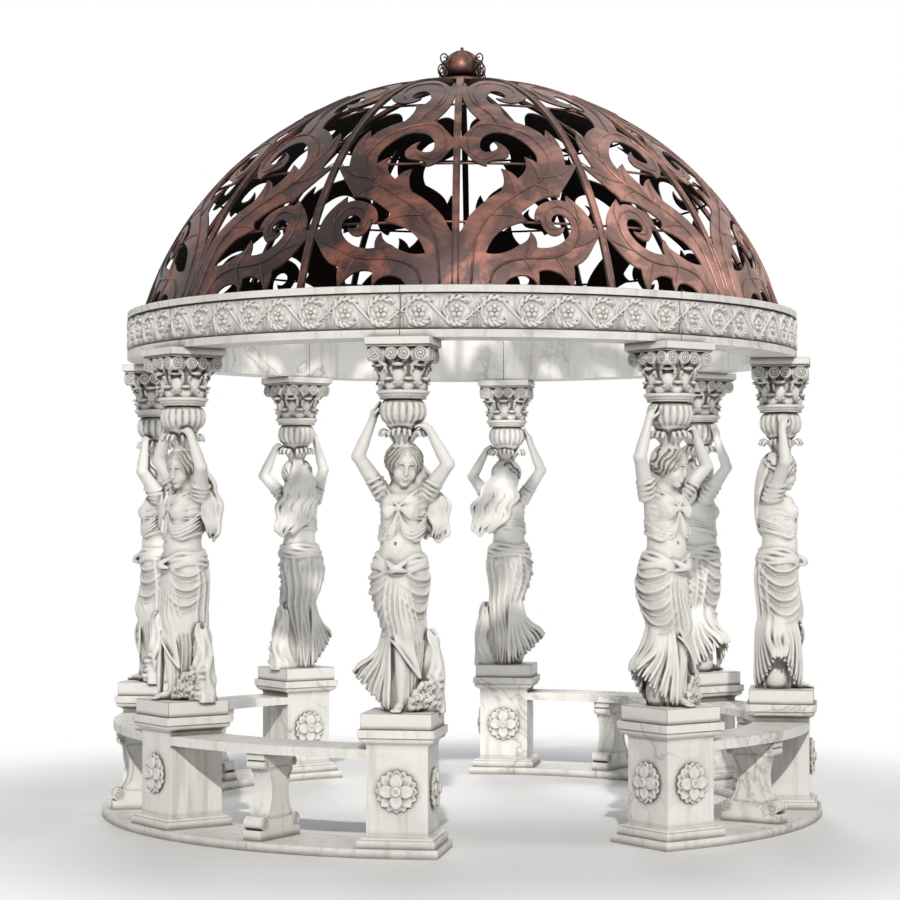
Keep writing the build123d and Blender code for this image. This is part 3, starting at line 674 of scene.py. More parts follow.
head_roll([(-11, -67, -61), (0, -74, -64), (11, -67, -61)], (2.2, 4, 2.2), 5)
print("head and face added")

# %% [markdown]
# The hair is combed back from a middle parting in waves. Laying each strand would take thousands
# of ropes, so the waves are a cosine of the way from the face, cut into an egg. The long hair
# behind is loose ropes of clay that sway to one side and hang past the shoulder.

# %% Combed hair
cut, (x, y, z) = clay.window(HEAD_AT - 100, HEAD_AT + 110, 0)
local = np.stack(np.broadcast_arrays(x - HEAD_AT[0], y - HEAD_AT[1], z - HEAD_AT[2]), -1) @ HEAD
hx, hy, hz = local[..., 0], local[..., 1], local[..., 2]


def egg(centre, radii):
    p = (local - np.array(centre, float)) / np.array(radii, float)
    reach = np.sqrt((p ** 2).sum(-1)) + 1e-6
    return reach * (reach - 1.0) / np.sqrt(((p / np.array(radii, float)) ** 2).sum(-1) + 1e-9)


from_face = np.hypot(hx, (hz + 20) * 0.86) + 0.62 * hy
sweep = np.arctan2(np.abs(hx), hz + 20)
waved = from_face + 5.0 * np.sin(sweep * 4.0 + 0.05 * hy) + 3.0 * np.sin(sweep * 9.0 - 0.04 * hy)
combed = np.cos(2 * np.pi * waved / 21.0)
strands = np.cos(2 * np.pi * waved / 7.0)
crown = egg((0, 18, 15), (85, 86, 82)) - 6.0 * combed - 1.8 * strands + 9 * np.exp(-(hx / 6.0) ** 2)
crown = np.maximum(crown, -egg((0, -92, -40), (54, 58, 92)))
clay.press(cut, np.maximum(crown, -(hz + 62)), 2.0)
print("hair combed")

# %% Long hair
for i in range(11):
    s = i / 10
    arch, wave = math.sin(math.pi * s), 9 * math.sin(i * 1.9)
    clay.roll([(-40 + 92 * s, 50 + 42 * arch, 1800 + 16 * arch),
               (-70 + 152 * s, 78 + 34 * arch, 1744),
               (-72 + 194 * s + 12, 94 + 26 * arch + wave * 0.3, 1690),
               (-70 + 220 * s - 12 + wave * 0.5, 106 + 22 * arch - 6 * s, 1640),
               (-50 + 228 * s + 14 + wave, 114 + 18 * arch - 12 * s, 1584),
               (-10 + 204 * s - 12 - wave * 0.5, 118 + 12 * arch - 18 * s, 1520 - 8 * s),
               (46 + 138 * s + 10 + wave, 110 + 8 * arch - 22 * s, 1456 - 10 * math.sin(9 * s)),
               (90 + 90 * s, 100 - 20 * s, 1424 + 16 * math.sin(7 * s))],
              (10, 13, 14, 14, 14, 13, 11, 6), 2)
for shift, push in ((-34, 0), (0, 8), (34, 0)):
    clay.roll([(8 + shift * 0.6, 46, 1760), (18 + shift, 66 + push, 1690),
               (50 + shift * 1.7, 80 + push, 1600), (86 + shift * 1.5, 92 + push, 1520),
               (124 + shift * 1.1, 94, 1462)], (50, 52, 46, 34, 16), 3)
for i in range(5):
    clay.roll([(84 + 12 * i, 44 + 6 * i, 1650), (118 + 15 * i, 46 + 9 * i, 1590),
               (104 + 17 * i, 50 + 10 * i, 1536), (134 + 14 * i, 58 + 9 * i, 1486),
               (122 + 15 * i, 70 + 6 * i, 1440 - 6 * math.sin(i * 2))], (8, 11, 12, 11, 6), 2)
print("long hair added")

# %% [markdown]
# Below the hips the skirt parts over one bare leg, so a channel is carved into the cloth before
# the leg is laid in it. The edge of the overskirt crosses above the knee in small pleats.

# %% Bare leg and overskirt
clay.roll([(-4, -104, 935), (4, -98, 850), (0, -96, 740), (-4, -100, 650)], (10, 32, 38, 40), 6, carve=True)
clay.roll([(2, -40, 980), (5, -60, 880), (2, -54, 790), (0, -54, 704), (-2, -60, 668)],
          (46, 38, 33, 21, 22), 3)
clay.roll([(-2, -60, 668), (-4, -96, 662), (-8, -140, 653)], (24, 21, 12), 6)
for i in range(5):
    tip = 6 * math.sin(i * 0.8)
    clay.roll([(-24 + 9.5 * i, -134 - tip, 655), (-25 + 9.5 * i, -152 - tip, 651)], (7, 6), 2, smooth=False)
for i in range(7):
    s = i / 6
    clay.roll([(-24 + 66 * s, -84 + 20 * s, 1040 - 10 * s), (-18 + 72 * s, -98 + 24 * s, 990 - 30 * s),
               (2 + 90 * s, -102 + 34 * s, 925 - 122 * s)], (3, 7, 7), 4)
clay.roll([(-36, -98, 970), (0, -112, 934), (44, -104, 872), (92, -70, 800)], (6, 7, 7, 6), 3)
print("leg and overskirt added")

# %% [markdown]
# The hem flies out to one side in a fan. It is a row of ropes that start close together at the
# hip and spread, thicker and thinner in turn, with a filled core so that no gap shows between.

# %% Flying hem
for i in range(4):
    s = (i + 0.5) / 4
    clay.roll([(-80 - 12 * s, -14 + 68 * s, 1044), (-94 - 8 * s, -28 + 100 * s, 950),
               (-136 - 8 * s, -34 + 100 * s + 4 * (i % 2), 888), (-196 - 4 * (i % 2), -30 + 74 * s, 850),
               (-220, -26 + 62 * s, 820 - 8 * (i % 2))], (3, 11, 13, 12, 8), 3)
clay.roll([(-60, 14, 990), (-86, 16, 890), (-128, 18, 840)], (44, 44, 24), 10)
clay.blob((-60, 26, 716), (50, 60, 90), 16)
for i in range(15):
    s = i / 14
    deep = 9 * (i % 2) + 5 * math.sin(i * 1.3)
    clay.roll([(-80 + 42 * s, -14 - 58 * s, 1040 - 14 * s),
               (-93 + 50 * s, -28 - 60 * s + deep * 0.4, 948 - 22 * s),
               (-132 + 88 * s, -36 - 62 * s + deep, 890 - 88 * s),
               (-192 + 144 * s, -32 - 66 * s + deep, 850 - 140 * s ** 0.85),
               (-224 + 178 * s, -28 - 66 * s + deep, 824 - 174 * s ** 0.85 - deep * 0.8)],
              (2, 7, 9, 10, 6.5), 2)
for i in range(11):
    s, deep = i / 10, 8 * (i % 2)
    clay.roll([(-92 + 60 * s, 54 + 50 * s, 1050 - 10 * s), (-104 + 70 * s, 72 + 54 * s, 950),
               (-140 + 110 * s, 66 + 64 * s - deep, 890 - 110 * s),
               (-194 + 162 * s, 48 + 84 * s - deep, 850 - 150 * s ** 0.8),
               (-218 + 186 * s, 38 + 88 * s - deep, 818 - 170 * s ** 0.8)], (3, 9, 12, 12, 8), 2)
print("flying hem added")

# %% [markdown]
# A tree stump with flowers at its foot props the figure on the other side. Bark runs up it in
# wavering ridges, so sines of the angle and the height are taken from its distance.

# %% Stump and flowers
STUMP_Y, STUMP_TOP, FLOWERS, PETALS = 44, 1000, 56, 5
cut, (x, y, z) = clay.window((30, -70, FIGURE_LOW), (225, 160, 1040), 6)
trunk = x - np.interp(z, (640, 730, 820, 920, 1006), (114, 126, 132, 128, 116))
around = np.arctan2(y - STUMP_Y, trunk)
bark = 5.5 * np.sin(around * 7 + 2.2 * np.sin(z / 38)) * (0.7 + 0.3 * np.sin(z / 23 + around * 2)) \
    + 4.0 * np.sin(z / 27 + 3 * np.cos(around * 2))
girth = np.interp(z, (640, 700, 780, 880, 960, 1010), (74, 62, 54, 45, 36, 26))
clay.press(cut, np.maximum(np.hypot(trunk, y - STUMP_Y) - girth - bark,
                           z - STUMP_TOP - 16 * np.sin(around * 3)), 4)
for i in range(FLOWERS):
    fx = 44 + 132 * ((i * 0.618) % 1)
    fz = 654 + 150 * ((i * 0.271) % 1) * min(1.0, fx / 120)
    fy = -66 + 0.5 * max(0.0, fx - 56) - 8 * math.sin(i) + 0.14 * (fz - 650)
    for p in range(PETALS):
        a = p * math.tau / PETALS + i
        clay.blob((fx + 8 * math.cos(a), fy - 8, fz + 8 * math.sin(a)), (6, 6.5, 6), 1)
    clay.blob((fx, fy + 10, fz), (14, 20, 14), 4)
print("stump and flowers added:", FLOWERS)

# %% [markdown]
# Above the head a crown of curling leaves carries a round bowl cut with upright flutes. They are
# turned forms, so their distance is worked out from the radius at each height.

# %% Leaf crown and fluted bowl
BOWL_FLUTES, CROWN_LEAVES = 18, 4
cut, (x, y, z) = clay.window((-140, -140, 1850), (140, 140, FIGURE_TOP), 8)
out, around = np.hypot(x, y), np.arctan2(y, x)
stem = np.interp(z, (1846, 1866, 1890, 1912, 1926, 1944, 1952), (54, 42, 39, 46, 62, 78, 68))
clay.press(cut, np.maximum(out - stem, z - 1950), 3.0)
flute = np.abs(np.cos(around * BOWL_FLUTES / 2)) ** 0.6
belly = np.interp(z, (1940, 1950, 1966, 1990, 2016, 2040, 2052, 2058),
                  (60, 78, 98, 109, 110, 104, 94, 88))
fade = np.interp(z, (1944, 1960, 2040, 2056), (0.2, 1, 1, 0.2))
bowl = out - belly + (1 - flute) * 14.0 * fade
clay.press(cut, np.maximum(np.maximum(bowl, z - 2058), 1942 - z), 1.0)
clay.press(cut, np.maximum(np.maximum(out - 82, z - (FIGURE_TOP + 2)), 2046 - z), 1.0)
for i in range(CROWN_LEAVES):
    a = i * math.tau / CROWN_LEAVES
    for k in range(-2, 3):
        lead, foot, inner = a + k * 0.25, a + k * 0.12, 1 - abs(k) / 2.6
        ca, sa = math.cos(lead), math.sin(lead)
        bend, tip = 88 + 8 * inner, 98 + 14 * inner
        clay.roll([(36 * math.cos(foot), 36 * math.sin(foot), 1856), (45 * ca, 45 * sa, 1880),
                   (67 * ca, 67 * sa, 1903 + 6 * inner), (bend * ca, bend * sa, 1910 + 10 * inner),
                   (tip * ca, tip * sa, 1892 + 8 * inner)], (8, 9, 10, 11, 6), 1)
print("leaf crown and bowl added")
figure_mesh = clay.mesh("draped_figure", FIGURE_TRIANGLES)

# %% [markdown]
# Every figure stands on a square plinth block. The block is joined to the carved mesh, and eight
# objects share that one mesh, each turned to face out from its place on the circle. The places
# come from the capitals' boxes in the frame, which are centred on the columns.


# %% Placing pieces
def column_place(number):
    """Where a column stands on the ground, and the turn by which it faces out."""
    low, high = (Vector(corner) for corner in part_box(f"capital_{number}"))
    middle = (low + high) / 2
    return Vector((middle.x, middle.y, 0.0)), math.atan2(middle.x, -middle.y)


def stand_for(mesh, name, node, finish, place=(0, 0, 0), turn=0.0):
    """A new piece that shows instead of a CAD node."""
    if not mesh.materials:
        mesh.materials.append(finish)
    piece = bpy.data.objects.new(name, mesh)
    piece.location = place
    piece.rotation_euler.z = turn
    scene.collection.objects.link(piece)
    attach(piece, "root")
    if node:
        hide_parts(node)


COLUMNS = range(1, 9)


def one_per_column(mesh, name, node):
    """The same piece at every column, in place of that column's CAD node."""
    for number in COLUMNS:
        place, turn = column_place(number)
        stand_for(mesh, f"{name}_{number}", f"{node}_{number}", carved_marble, place, turn)
    print(f"{name}: {len(COLUMNS)} placed")


def round_the_axis(mesh, name, node, finish, turns):
    """The same piece repeated round the middle of the gazebo."""
    for number, turn in enumerate(turns, 1):
        stand_for(mesh, f"{name}_{number}", node, finish, (0, 0, 0), turn)
    print(f"{name}: {len(turns)} placed")


print("placing helpers ready for", len(COLUMNS), "columns")


# %% Worn blocks
def add_block(mesh, low, high, edge):
    """Join a square block with slightly worn edges to a mesh."""
    shape = bmesh.new()
    shape.from_mesh(mesh)
    block = bmesh.new()
    low, high = Vector(low), Vector(high)
    bmesh.ops.create_cube(block, size=1.0, matrix=Matrix.Translation((low + high) / 2)
                          @ Matrix.Diagonal((*(high - low), 1.0)))
    bmesh.ops.bevel(block, geom=block.edges[:], offset=edge, segments=2, affect="EDGES")
    joined = bpy.data.meshes.new("block")
    block.to_mesh(joined)
    shape.from_mesh(joined)
    shape.to_mesh(mesh)
    bpy.data.meshes.remove(joined)
    block.free()
    shape.free()


print("block helper ready")

# %% Plinths and figures
PLINTH_HALF, PLINTH_LOW, PLINTH_EDGE = 0.164, 0.569, 0.003
add_block(figure_mesh, (-PLINTH_HALF, -PLINTH_HALF, PLINTH_LOW),
          (PLINTH_HALF, PLINTH_HALF, FIGURE_LOW / 1000), PLINTH_EDGE)
one_per_column(figure_mesh, "draped_figure", "caryatid")

# %% [markdown]
# The capitals are carved bells: a round moulding at the foot, two rows of leaves whose tips curl
# outwards, four scrolls on each face and a square slab on top. Bell and leaves are pressed in
# clay. A scroll is a disc whose face is cut by a spiral groove, so its depth follows the angle.


# %% Bell of the capital
def polar(radius, angle, height):
    return (radius * math.sin(angle), -radius * math.cos(angle), height)


CAPITAL_LOW, SLAB_LOW, CAPITAL_TOP = 2062, 2295, 2341
CAPITAL_VOXEL, CAPITAL_TRIANGLES, NECK_BEADS = 2.6, 16000, 44
cap = Clay((-170, -170, CAPITAL_LOW - 6), (170, 170, CAPITAL_TOP + 6), CAPITAL_VOXEL)
cut, (x, y, z) = cap.window((-168, -168, CAPITAL_LOW - 4), (168, 168, SLAB_LOW + 8), 0)
out = np.hypot(x, y)
bell = np.interp(z, (2062, 2068, 2108, 2150, 2200, 2250, 2296), (88, 92, 98, 98, 102, 112, 128))
cap.press(cut, np.maximum(np.maximum(out - bell, CAPITAL_LOW - z), z - (SLAB_LOW + 4)), 0.0)
for ring_radius, height, thick in ((114, 2094, 9), (104, 2082, 9), (99, 2068, 6)):
    cap.press(cut, np.hypot(out - ring_radius, z - height) - thick, 1.0)
for bead in range(NECK_BEADS):
    a = bead * math.tau / NECK_BEADS
    cap.blob(polar(104, a, 2066), (4.6, 4.6, 4.6), 0.5)
print("bell pressed:", cap.field.shape, "voxels")


# %% Leaves of the capital
def leaf(angle, middle, tip, blade, curl):
    """One leaf: a swelling blade, four veins, and a curled tip over a dark hollow."""
    axes = np.stack([polar(1, angle, 0), (math.cos(angle), math.sin(angle), 0), (0, 0, 1)], 1)
    cap.blob(polar(blade[0], angle, middle), blade[1:], 2, axes)
    for share in (-0.2, -0.07, 0.07, 0.2):
        cap.roll([polar(blade[0] + blade[1] + 1, angle + share, middle - blade[3] * 0.6),
                  polar(blade[0] + blade[1] + 2, angle + share * 0.7, tip - 8)], (2.5, 3.0), 1.5,
                 carve=True, smooth=False)
    cap.blob(polar(curl[0] + 8, angle, tip - curl[3] - 5),
             (curl[1] + 4, curl[2] + 2, curl[3]), 2, axes, carve=True)
    cap.blob(polar(curl[0], angle, tip), curl[1:], 2, axes)
    for share in (-1, 1):
        side = angle + share * 0.27
        cap.roll([polar(blade[0] + 12, side, middle + 6), polar(curl[0] - 4, side, tip - 16),
                  polar(curl[0] + 2, side - share * 0.05, tip - 22)], (9, 7, 4), 2)


LEAVES = 8
for i in range(LEAVES):
    leaf(i * math.tau / LEAVES, 2166, 2216, (94, 22, 38, 54), (128, 20, 28, 9))
for i in range(LEAVES):
    leaf((i + 0.5) * math.tau / LEAVES, 2122, 2152, (92, 24, 34, 34), (120, 16, 23, 8))
print("leaves pressed: 2 rows of", LEAVES)

# %% [markdown]
# The scrolls sit under the slab, two large ones at the corners of each face and two small ones
# between, each on a stalk that rises out of the leaves. The slab on top is two plain blocks.


# %% Scrolls and slab of the capital
def on_face(face, across, out, height):
    """A point in front of one of the capital's four faces."""
    c, s = math.cos(face * math.pi / 2), math.sin(face * math.pi / 2)
    return (c * across + s * out, s * across - c * out, height)


SLAB_HALF, SLAB_STEP, SLAB_EDGE = 152, 10, 0.002
SCROLL_FRONT, SCROLL_PITCH, SCROLL_CUT, SCROLL_EYE = 146, 11.0, 7.0, 5
# place across, radius and winding of the four scrolls on a face
SCROLLS = ((-106, 33, -1), (-30, 30, 1), (30, 30, -1), (106, 33, 1))
for face in range(4):
    c, s = math.cos(face * math.pi / 2), math.sin(face * math.pi / 2)
    u, depth = x * c + y * s, -(y * c - x * s)
    for centre, radius, way in SCROLLS:
        height = SLAB_LOW - radius + 1
        r, a = np.hypot(u - centre, z - height), np.arctan2(z - height, (u - centre) * way)
        groove = 0.5 + 0.5 * np.cos(math.tau * r / SCROLL_PITCH - a)
        front_gap = depth - SCROLL_FRONT + SCROLL_CUT * groove * (r > SCROLL_EYE)
        cap.press(cut, np.maximum(np.maximum(r - radius, front_gap), 60 - depth), 0.5)
        cap.roll([on_face(face, centre * 0.55, 104, height - 52),
                  on_face(face, centre * 0.8, 118, height - 32),
                  on_face(face, centre + way * -radius * 0.5, 132, height - radius * 0.6)], (9, 10, 8), 3)
capital_mesh = cap.mesh("leaf_capital", CAPITAL_TRIANGLES)
for half, low, high in ((SLAB_HALF - SLAB_STEP, SLAB_LOW, SLAB_LOW + 12),
                        (SLAB_HALF, SLAB_LOW + SLAB_STEP, CAPITAL_TOP)):
    add_block(capital_mesh, (-half / 1000, -half / 1000, low / 1000),
              (half / 1000, half / 1000, high / 1000), SLAB_EDGE)
one_per_column(capital_mesh, "leaf_capital", "capital")

# %% [markdown]
# Each pedestal carries carved double roses on its outer and inner faces, and the four beside the
# entrances one more on the entrance side. The solid already has a plain rose, so the carved one
# is a little fuller and covers it. It is modelled once, facing the reader, and shared.

# %% Rose petals
ROSE_VOXEL, ROSE_TRIANGLES = 2.4, 4200
rose = Clay((-106, -44, -106), (106, 8, 106), ROSE_VOXEL)
rose.blob((0, 4, 0), (78, 16, 78), 2)


def petal(angle, ring, long, wide, lift, thick):
    """A petal with rolled edges and a groove down its middle."""
    c, s = math.cos(angle), math.sin(angle)
    along, across = np.array((c, 0, s)), np.array((-s, 0, c))
    turn = np.stack([along, np.array((0.0, 1.0, 0.0)), across], 1)
    rose.blob(along * ring + (0, lift, 0), (long, thick, wide), 2, turn)
    for side in (-1, 1):
        edge = [along * (ring - long * 0.7) + across * side * wide * 0.45,
                along * ring + across * side * wide * 0.8,
                along * (ring + long * 0.62) + across * side * wide * 0.5,
                along * (ring + long * 0.96)]
        rose.roll([p + (0, lift - thick * 0.55, 0) for p in edge], (4, 5.5, 5, 4), 2)
    rose.blob(along * (ring + long * 0.1) + (0, lift - thick - 3, 0),
              (long * 0.62, 9, wide * 0.52), 3, turn, carve=True)
    rose.roll([along * (ring - long * 0.7) + (0, lift - thick * 0.5, 0),
               along * (ring + long * 0.8) + (0, lift - thick * 0.5, 0)], (4, 2.5), 2, smooth=False)


for i in range(8):
    petal((i + 0.5) * math.tau / 8, 60, 35, 21, -3, 12)
for i in range(8):
    petal(i * math.tau / 8, 56, 38, 25, -6, 13)
rose.blob((0, 0, 0), (66, 21, 66), 3)
for i in range(4):
    petal(i * math.tau / 4, 42, 36, 31, -14, 16)
for i in range(4):
    c, s = math.cos((i + 0.5) * math.tau / 4), math.sin((i + 0.5) * math.tau / 4)
    rose.roll([(20 * c, -32, 20 * s), (52 * c, -28, 52 * s)], (3, 6), 2, carve=True, smooth=False)
rose.blob((0, -16, 0), (30, 16, 30), 2)
rose.roll([(16 * math.cos(a), -31, 16 * math.sin(a)) for a in np.linspace(0, math.tau, 17)], 7, 2)
rose.blob((0, -26, 0), (11, 9, 11), 1)
rose_mesh = rose.mesh("carved_rose", ROSE_TRIANGLES)

# %% Roses on the pedestals
ROSE_HEIGHT, DADO_HALF = 0.294, 0.141
FACES = {"outer": 0.0, "inner": math.pi, "right": math.pi / 2, "left": -math.pi / 2}
ENTRANCE_SIDE = {1: "left", 4: "right", 5: "left", 8: "right"}
roses = 0
for number in COLUMNS:
    place, turn = column_place(number)
    sides = ["outer", "inner"] + ([ENTRANCE_SIDE[number]] if number in ENTRANCE_SIDE else [])
    for side in sides:
        facing = turn + FACES[side]
        spot = place + Vector((math.sin(facing), -math.cos(facing), 0)) * DADO_HALF
        stand_for(rose_mesh, f"carved_rose_{number}_{side}", None, carved_marble,
                  spot + Vector((0, 0, ROSE_HEIGHT)), facing)
        roses += 1
print("roses placed:", roses)

# %% [markdown]
# A running vine is carved round the ring beam. Its stem waves over one flower and under the next,
# and from each wave a leaf curls round the other side of the flower. One pair of flowers is drawn
# as rounded strokes on a height map, repeated four times on a stone, and the map is bent round
# the ring as a thin closed plate that lies in the beam's groove.

# %% Frieze strokes
RING_GROUND, FRIEZE_LOW, FRIEZE_HIGH = 1.744, 2376, 2546
STONES, STONE_TURN = 8, math.radians(45)
PAIRS, STEP = 4, 2.5
pair_width = RING_GROUND * 1000 * STONE_TURN / PAIRS
half_height = (FRIEZE_HIGH - FRIEZE_LOW) / 2
across = np.linspace(-pair_width / 2, pair_width / 2, int(pair_width / STEP), endpoint=False)
upward = np.linspace(-half_height, half_height, int(2 * half_height / STEP))
carving = np.zeros((len(across), len(upward)))


def stroke(points, radii, rise):
    """A rounded stroke along a smooth line, repeated at the borders of the pair."""
    line = curve_through(points, 6)
    radius = np.interp(np.linspace(0, 1, len(line)), np.linspace(0, 1, len(radii)), radii)
    for shift in (-pair_width, 0.0, pair_width):
        for a, b, ra, rb in zip(line[:-1], line[1:], radius[:-1], radius[1:]):
            d = b - a
            u, w = across[:, None] + shift - a[0], upward[None, :] - a[1]
            t = np.clip((u * d[0] + w * d[1]) / max(d @ d, 1e-9), 0, 1)
            gap = np.hypot(u - t * d[0], w - t * d[1]) / (ra + (rb - ra) * t)
            np.maximum(carving, rise * np.clip(1 - gap ** 2, 0, None) ** 0.55, out=carving)


def dot(u, w, radius, rise):
    stroke([(u - 0.1, w), (u + 0.1, w)], (radius, radius), rise)


print("frieze map:", carving.shape, "for a pair", round(pair_width), "mm wide")

# %% [markdown]
# The strokes follow the real vine: the long stem first, then for each flower the curl that
# closes its scroll, rows of leaf lobes on the outside, five petals and a raised middle.

# %% Vine with two flowers
FLOWER, FLOWER_PETALS = pair_width / 4, 5


def feathers(home, first, last, count, ring):
    """Leaf lobes round a flower that lie along the scroll, from one angle to another."""
    lead = math.copysign(math.radians(30), last - first)
    for turn in np.radians(np.linspace(first, last, count)):
        stroke([(home + r * math.cos(turn + lead * k), r * math.sin(turn + lead * k))
                for r, k in ((ring, 0.0), (ring + 11, 0.5), (ring + 18, 1.0))], (9, 11, 3), 15)


stroke([(-132, 34), (-112, 52), (-84, 60), (-52, 50), (-22, 18), (16, -22), (46, -50), (80, -60),
        (112, -50), (138, -28), (166, -4), (190, 16), (210, 34)],
       (7, 8, 8, 8, 8, 8, 8, 8, 8, 7, 6, 7, 7), 13)
CURL = ((-44, 32), (-57, 12), (-58, -14), (-42, -42), (-12, -57), (22, -53), (46, -32))
for home, way in ((-FLOWER, 1), (FLOWER, -1)):
    stroke([(home + u, way * w) for u, w in CURL], (4, 6, 7, 8, 8, 7, 3), 12)
    feathers(home, 150, 66, 4, 54)
    feathers(home, 216, 290, 4, 54)
    for i in range(FLOWER_PETALS):
        a = i * math.tau / FLOWER_PETALS + math.pi / 2
        dot(home + 20 * math.cos(a), 20 * math.sin(a), 14, 14)
    dot(home, 0, 9, 17)
dot(-FLOWER - 50, 54, 11, 13)
dot(FLOWER + 54, 44, 12, 13)
for u, w, side in ((146, -20, 1), (158, -12, -1), (172, 2, 1), (184, 10, -1)):
    stroke([(u, w), (u + 8 * side + 4, w - 10 * side + 6), (u + 14 * side + 10, w - 18 * side + 10)],
           (5, 6, 2.5), 11)
print("frieze pair:", carving.shape, "highest", round(float(carving.max()), 1), "mm")

# %% [markdown]
# Displacing a subdivided plate would need its texture unwrapped along the ring. The height map
# already has a row for each step along it, so its points are laid straight on the curve. Two rows
# of points behind close the plate.

# %% Bend the frieze round the ring
FRIEZE_TRIANGLES, STONE_JOINT, PLATE_LIFT, BACK_SCALE = 26000, 0.0025, 0.0004, 0.997
edge_fade = np.clip(np.minimum(upward + half_height, half_height - upward) / 3.0, 0, 1)
height_map = np.vstack([carving] * PAIRS + [carving[:1]]) * edge_fade
columns, levels = height_map.shape
sweep = np.linspace(-0.5, 0.5, columns) * (STONE_TURN - STONE_JOINT)
radius = RING_GROUND + PLATE_LIFT + height_map / 1000
heights = (upward + (FRIEZE_LOW + FRIEZE_HIGH) / 2) / 1000
carved = np.stack([radius * np.sin(sweep)[:, None], -radius * np.cos(sweep)[:, None],
                   np.broadcast_to(heights, radius.shape)], -1)
plain = carved[:, [0, -1]] * np.array([BACK_SCALE, BACK_SCALE, 1.0])
points = np.vstack([carved.reshape(-1, 3), plain.reshape(-1, 3)])
index = np.arange(columns * levels).reshape(columns, levels)
rear = columns * levels + np.arange(2 * columns).reshape(columns, 2)


def strip(a, b):
    """Faces between two rows of point numbers."""
    return np.stack([a[:-1], a[1:], b[1:], b[:-1]], -1).reshape(-1, 4).tolist()


faces = strip(index[:, :-1], index[:, 1:]) + strip(rear[:, 0], index[:, 0])
faces += strip(index[:, -1], rear[:, 1]) + strip(rear[:, 1], rear[:, 0])
faces += [[rear[0, 1], rear[0, 0]] + index[0].tolist(),
          [rear[-1, 0], rear[-1, 1]] + index[-1, ::-1].tolist()]
frieze_mesh = bpy.data.meshes.new("scroll_frieze")
frieze_mesh.from_pydata(points.tolist(), [], faces)
frieze_mesh = thinned(frieze_mesh, "scroll_frieze", FRIEZE_TRIANGLES)
round_the_axis(frieze_mesh, "scroll_frieze", None, frieze_marble,
               [stone * STONE_TURN for stone in range(STONES)])

# %% [markdown]
# The dome's leaves are thin sheets in the CAD part, hammered so that their veins stand up as
# lines. A vein is drawn in the panel's own shares: how far across from the stem rib to the next
# rib, and how far up from the foot to the crown. The line becomes a round wire half sunk in the
# sheet. One half bay is drawn, mirrored at the stem rib and repeated seven times.


# %% Wires
def tube(points, radii, facing, sides):
    """Points and faces of a closed round wire; facing gives the upward side at each point."""
    points = np.asarray(points, float)
    along = np.gradient(points, axis=0)
    along /= np.linalg.norm(along, axis=1, keepdims=True)
    level = np.cross(along, facing)
    level /= np.linalg.norm(level, axis=1, keepdims=True)
    above = np.cross(level, along)
    shares = np.linspace(0, 1, len(points)), np.linspace(0, 1, len(radii))
    radius = np.interp(*shares, radii)[:, None, None]
    a = np.arange(sides) * math.tau / sides
    ring = level[:, None] * np.cos(a)[None, :, None] + above[:, None] * np.sin(a)[None, :, None]
    spots = (points[:, None] + radius * ring).reshape(-1, 3)
    faces = []
    for i in range(len(points) - 1):
        for j in range(sides):
            k = (j + 1) % sides
            faces.append([i * sides + j, i * sides + k, (i + 1) * sides + k, (i + 1) * sides + j])
    last = (len(points) - 1) * sides
    return spots, faces + [list(range(sides))[::-1], list(range(last, last + sides))]


def wire_mesh(name, tubes):
    """One smooth mesh from several wires."""
    spots, faces, start = [], [], 0
    for points, quads in tubes:
        spots.append(points)
        faces += [[start + corner for corner in face] for face in quads]
        start += len(points)
    mesh = bpy.data.meshes.new(name)
    mesh.from_pydata(np.vstack(spots).tolist(), [], faces)
    mesh.polygons.foreach_set("use_smooth", [True] * len(mesh.polygons))
    mesh.calc_loop_triangles()
    print(f"{name}: {len(mesh.loop_triangles)} triangles")
    return mesh


print("wire helpers ready")

# %% [markdown]
# The sheet lies on a sphere that is cut by the ring at its foot. The shares become a turn and a
# lift on that sphere, so every vein stays on the surface without any fitting.

# %% Dome sphere
DOME_RADIUS, DOME_FOOT, RING_TOP, RIB_END = 1.748, 1.676, 2.578, 0.105
BAYS, STEM_TURN = 7, math.radians(-14.3)
BAY = math.pi / BAYS  # half a bay, from the stem rib to the next rib
dome_centre = np.array((0.0, 0.0, RING_TOP - math.sqrt(DOME_RADIUS ** 2 - DOME_FOOT ** 2)))
foot_lift = math.asin((RING_TOP - dome_centre[2]) / DOME_RADIUS)
crown_lift = math.acos(RIB_END / DOME_RADIUS)


def on_dome(across, rise):
    turn, lift = np.asarray(across) * BAY, foot_lift + np.asarray(rise) * (crown_lift - foot_lift)
    return dome_centre + DOME_RADIUS * np.stack([np.cos(lift) * np.sin(turn), -np.cos(lift) * np.cos(turn),
                                                 np.sin(lift) + 0 * turn], -1)


def dome_wire(shares, radii, steps, side):
    line = curve_through(shares, steps)
    points = on_dome(side * line[:, 0], line[:, 1])
    return tube(points, radii, (points - dome_centre) / DOME_RADIUS, 5)


print("dome foot at", round(math.degrees(foot_lift), 1), "degrees, crown at",
      round(math.degrees(crown_lift), 1))

# %% [markdown]
# The long stems run up the middle of the leaf and wind into its scrolls. The short veins leave
# the stem towards each leaf tip and thin out there.

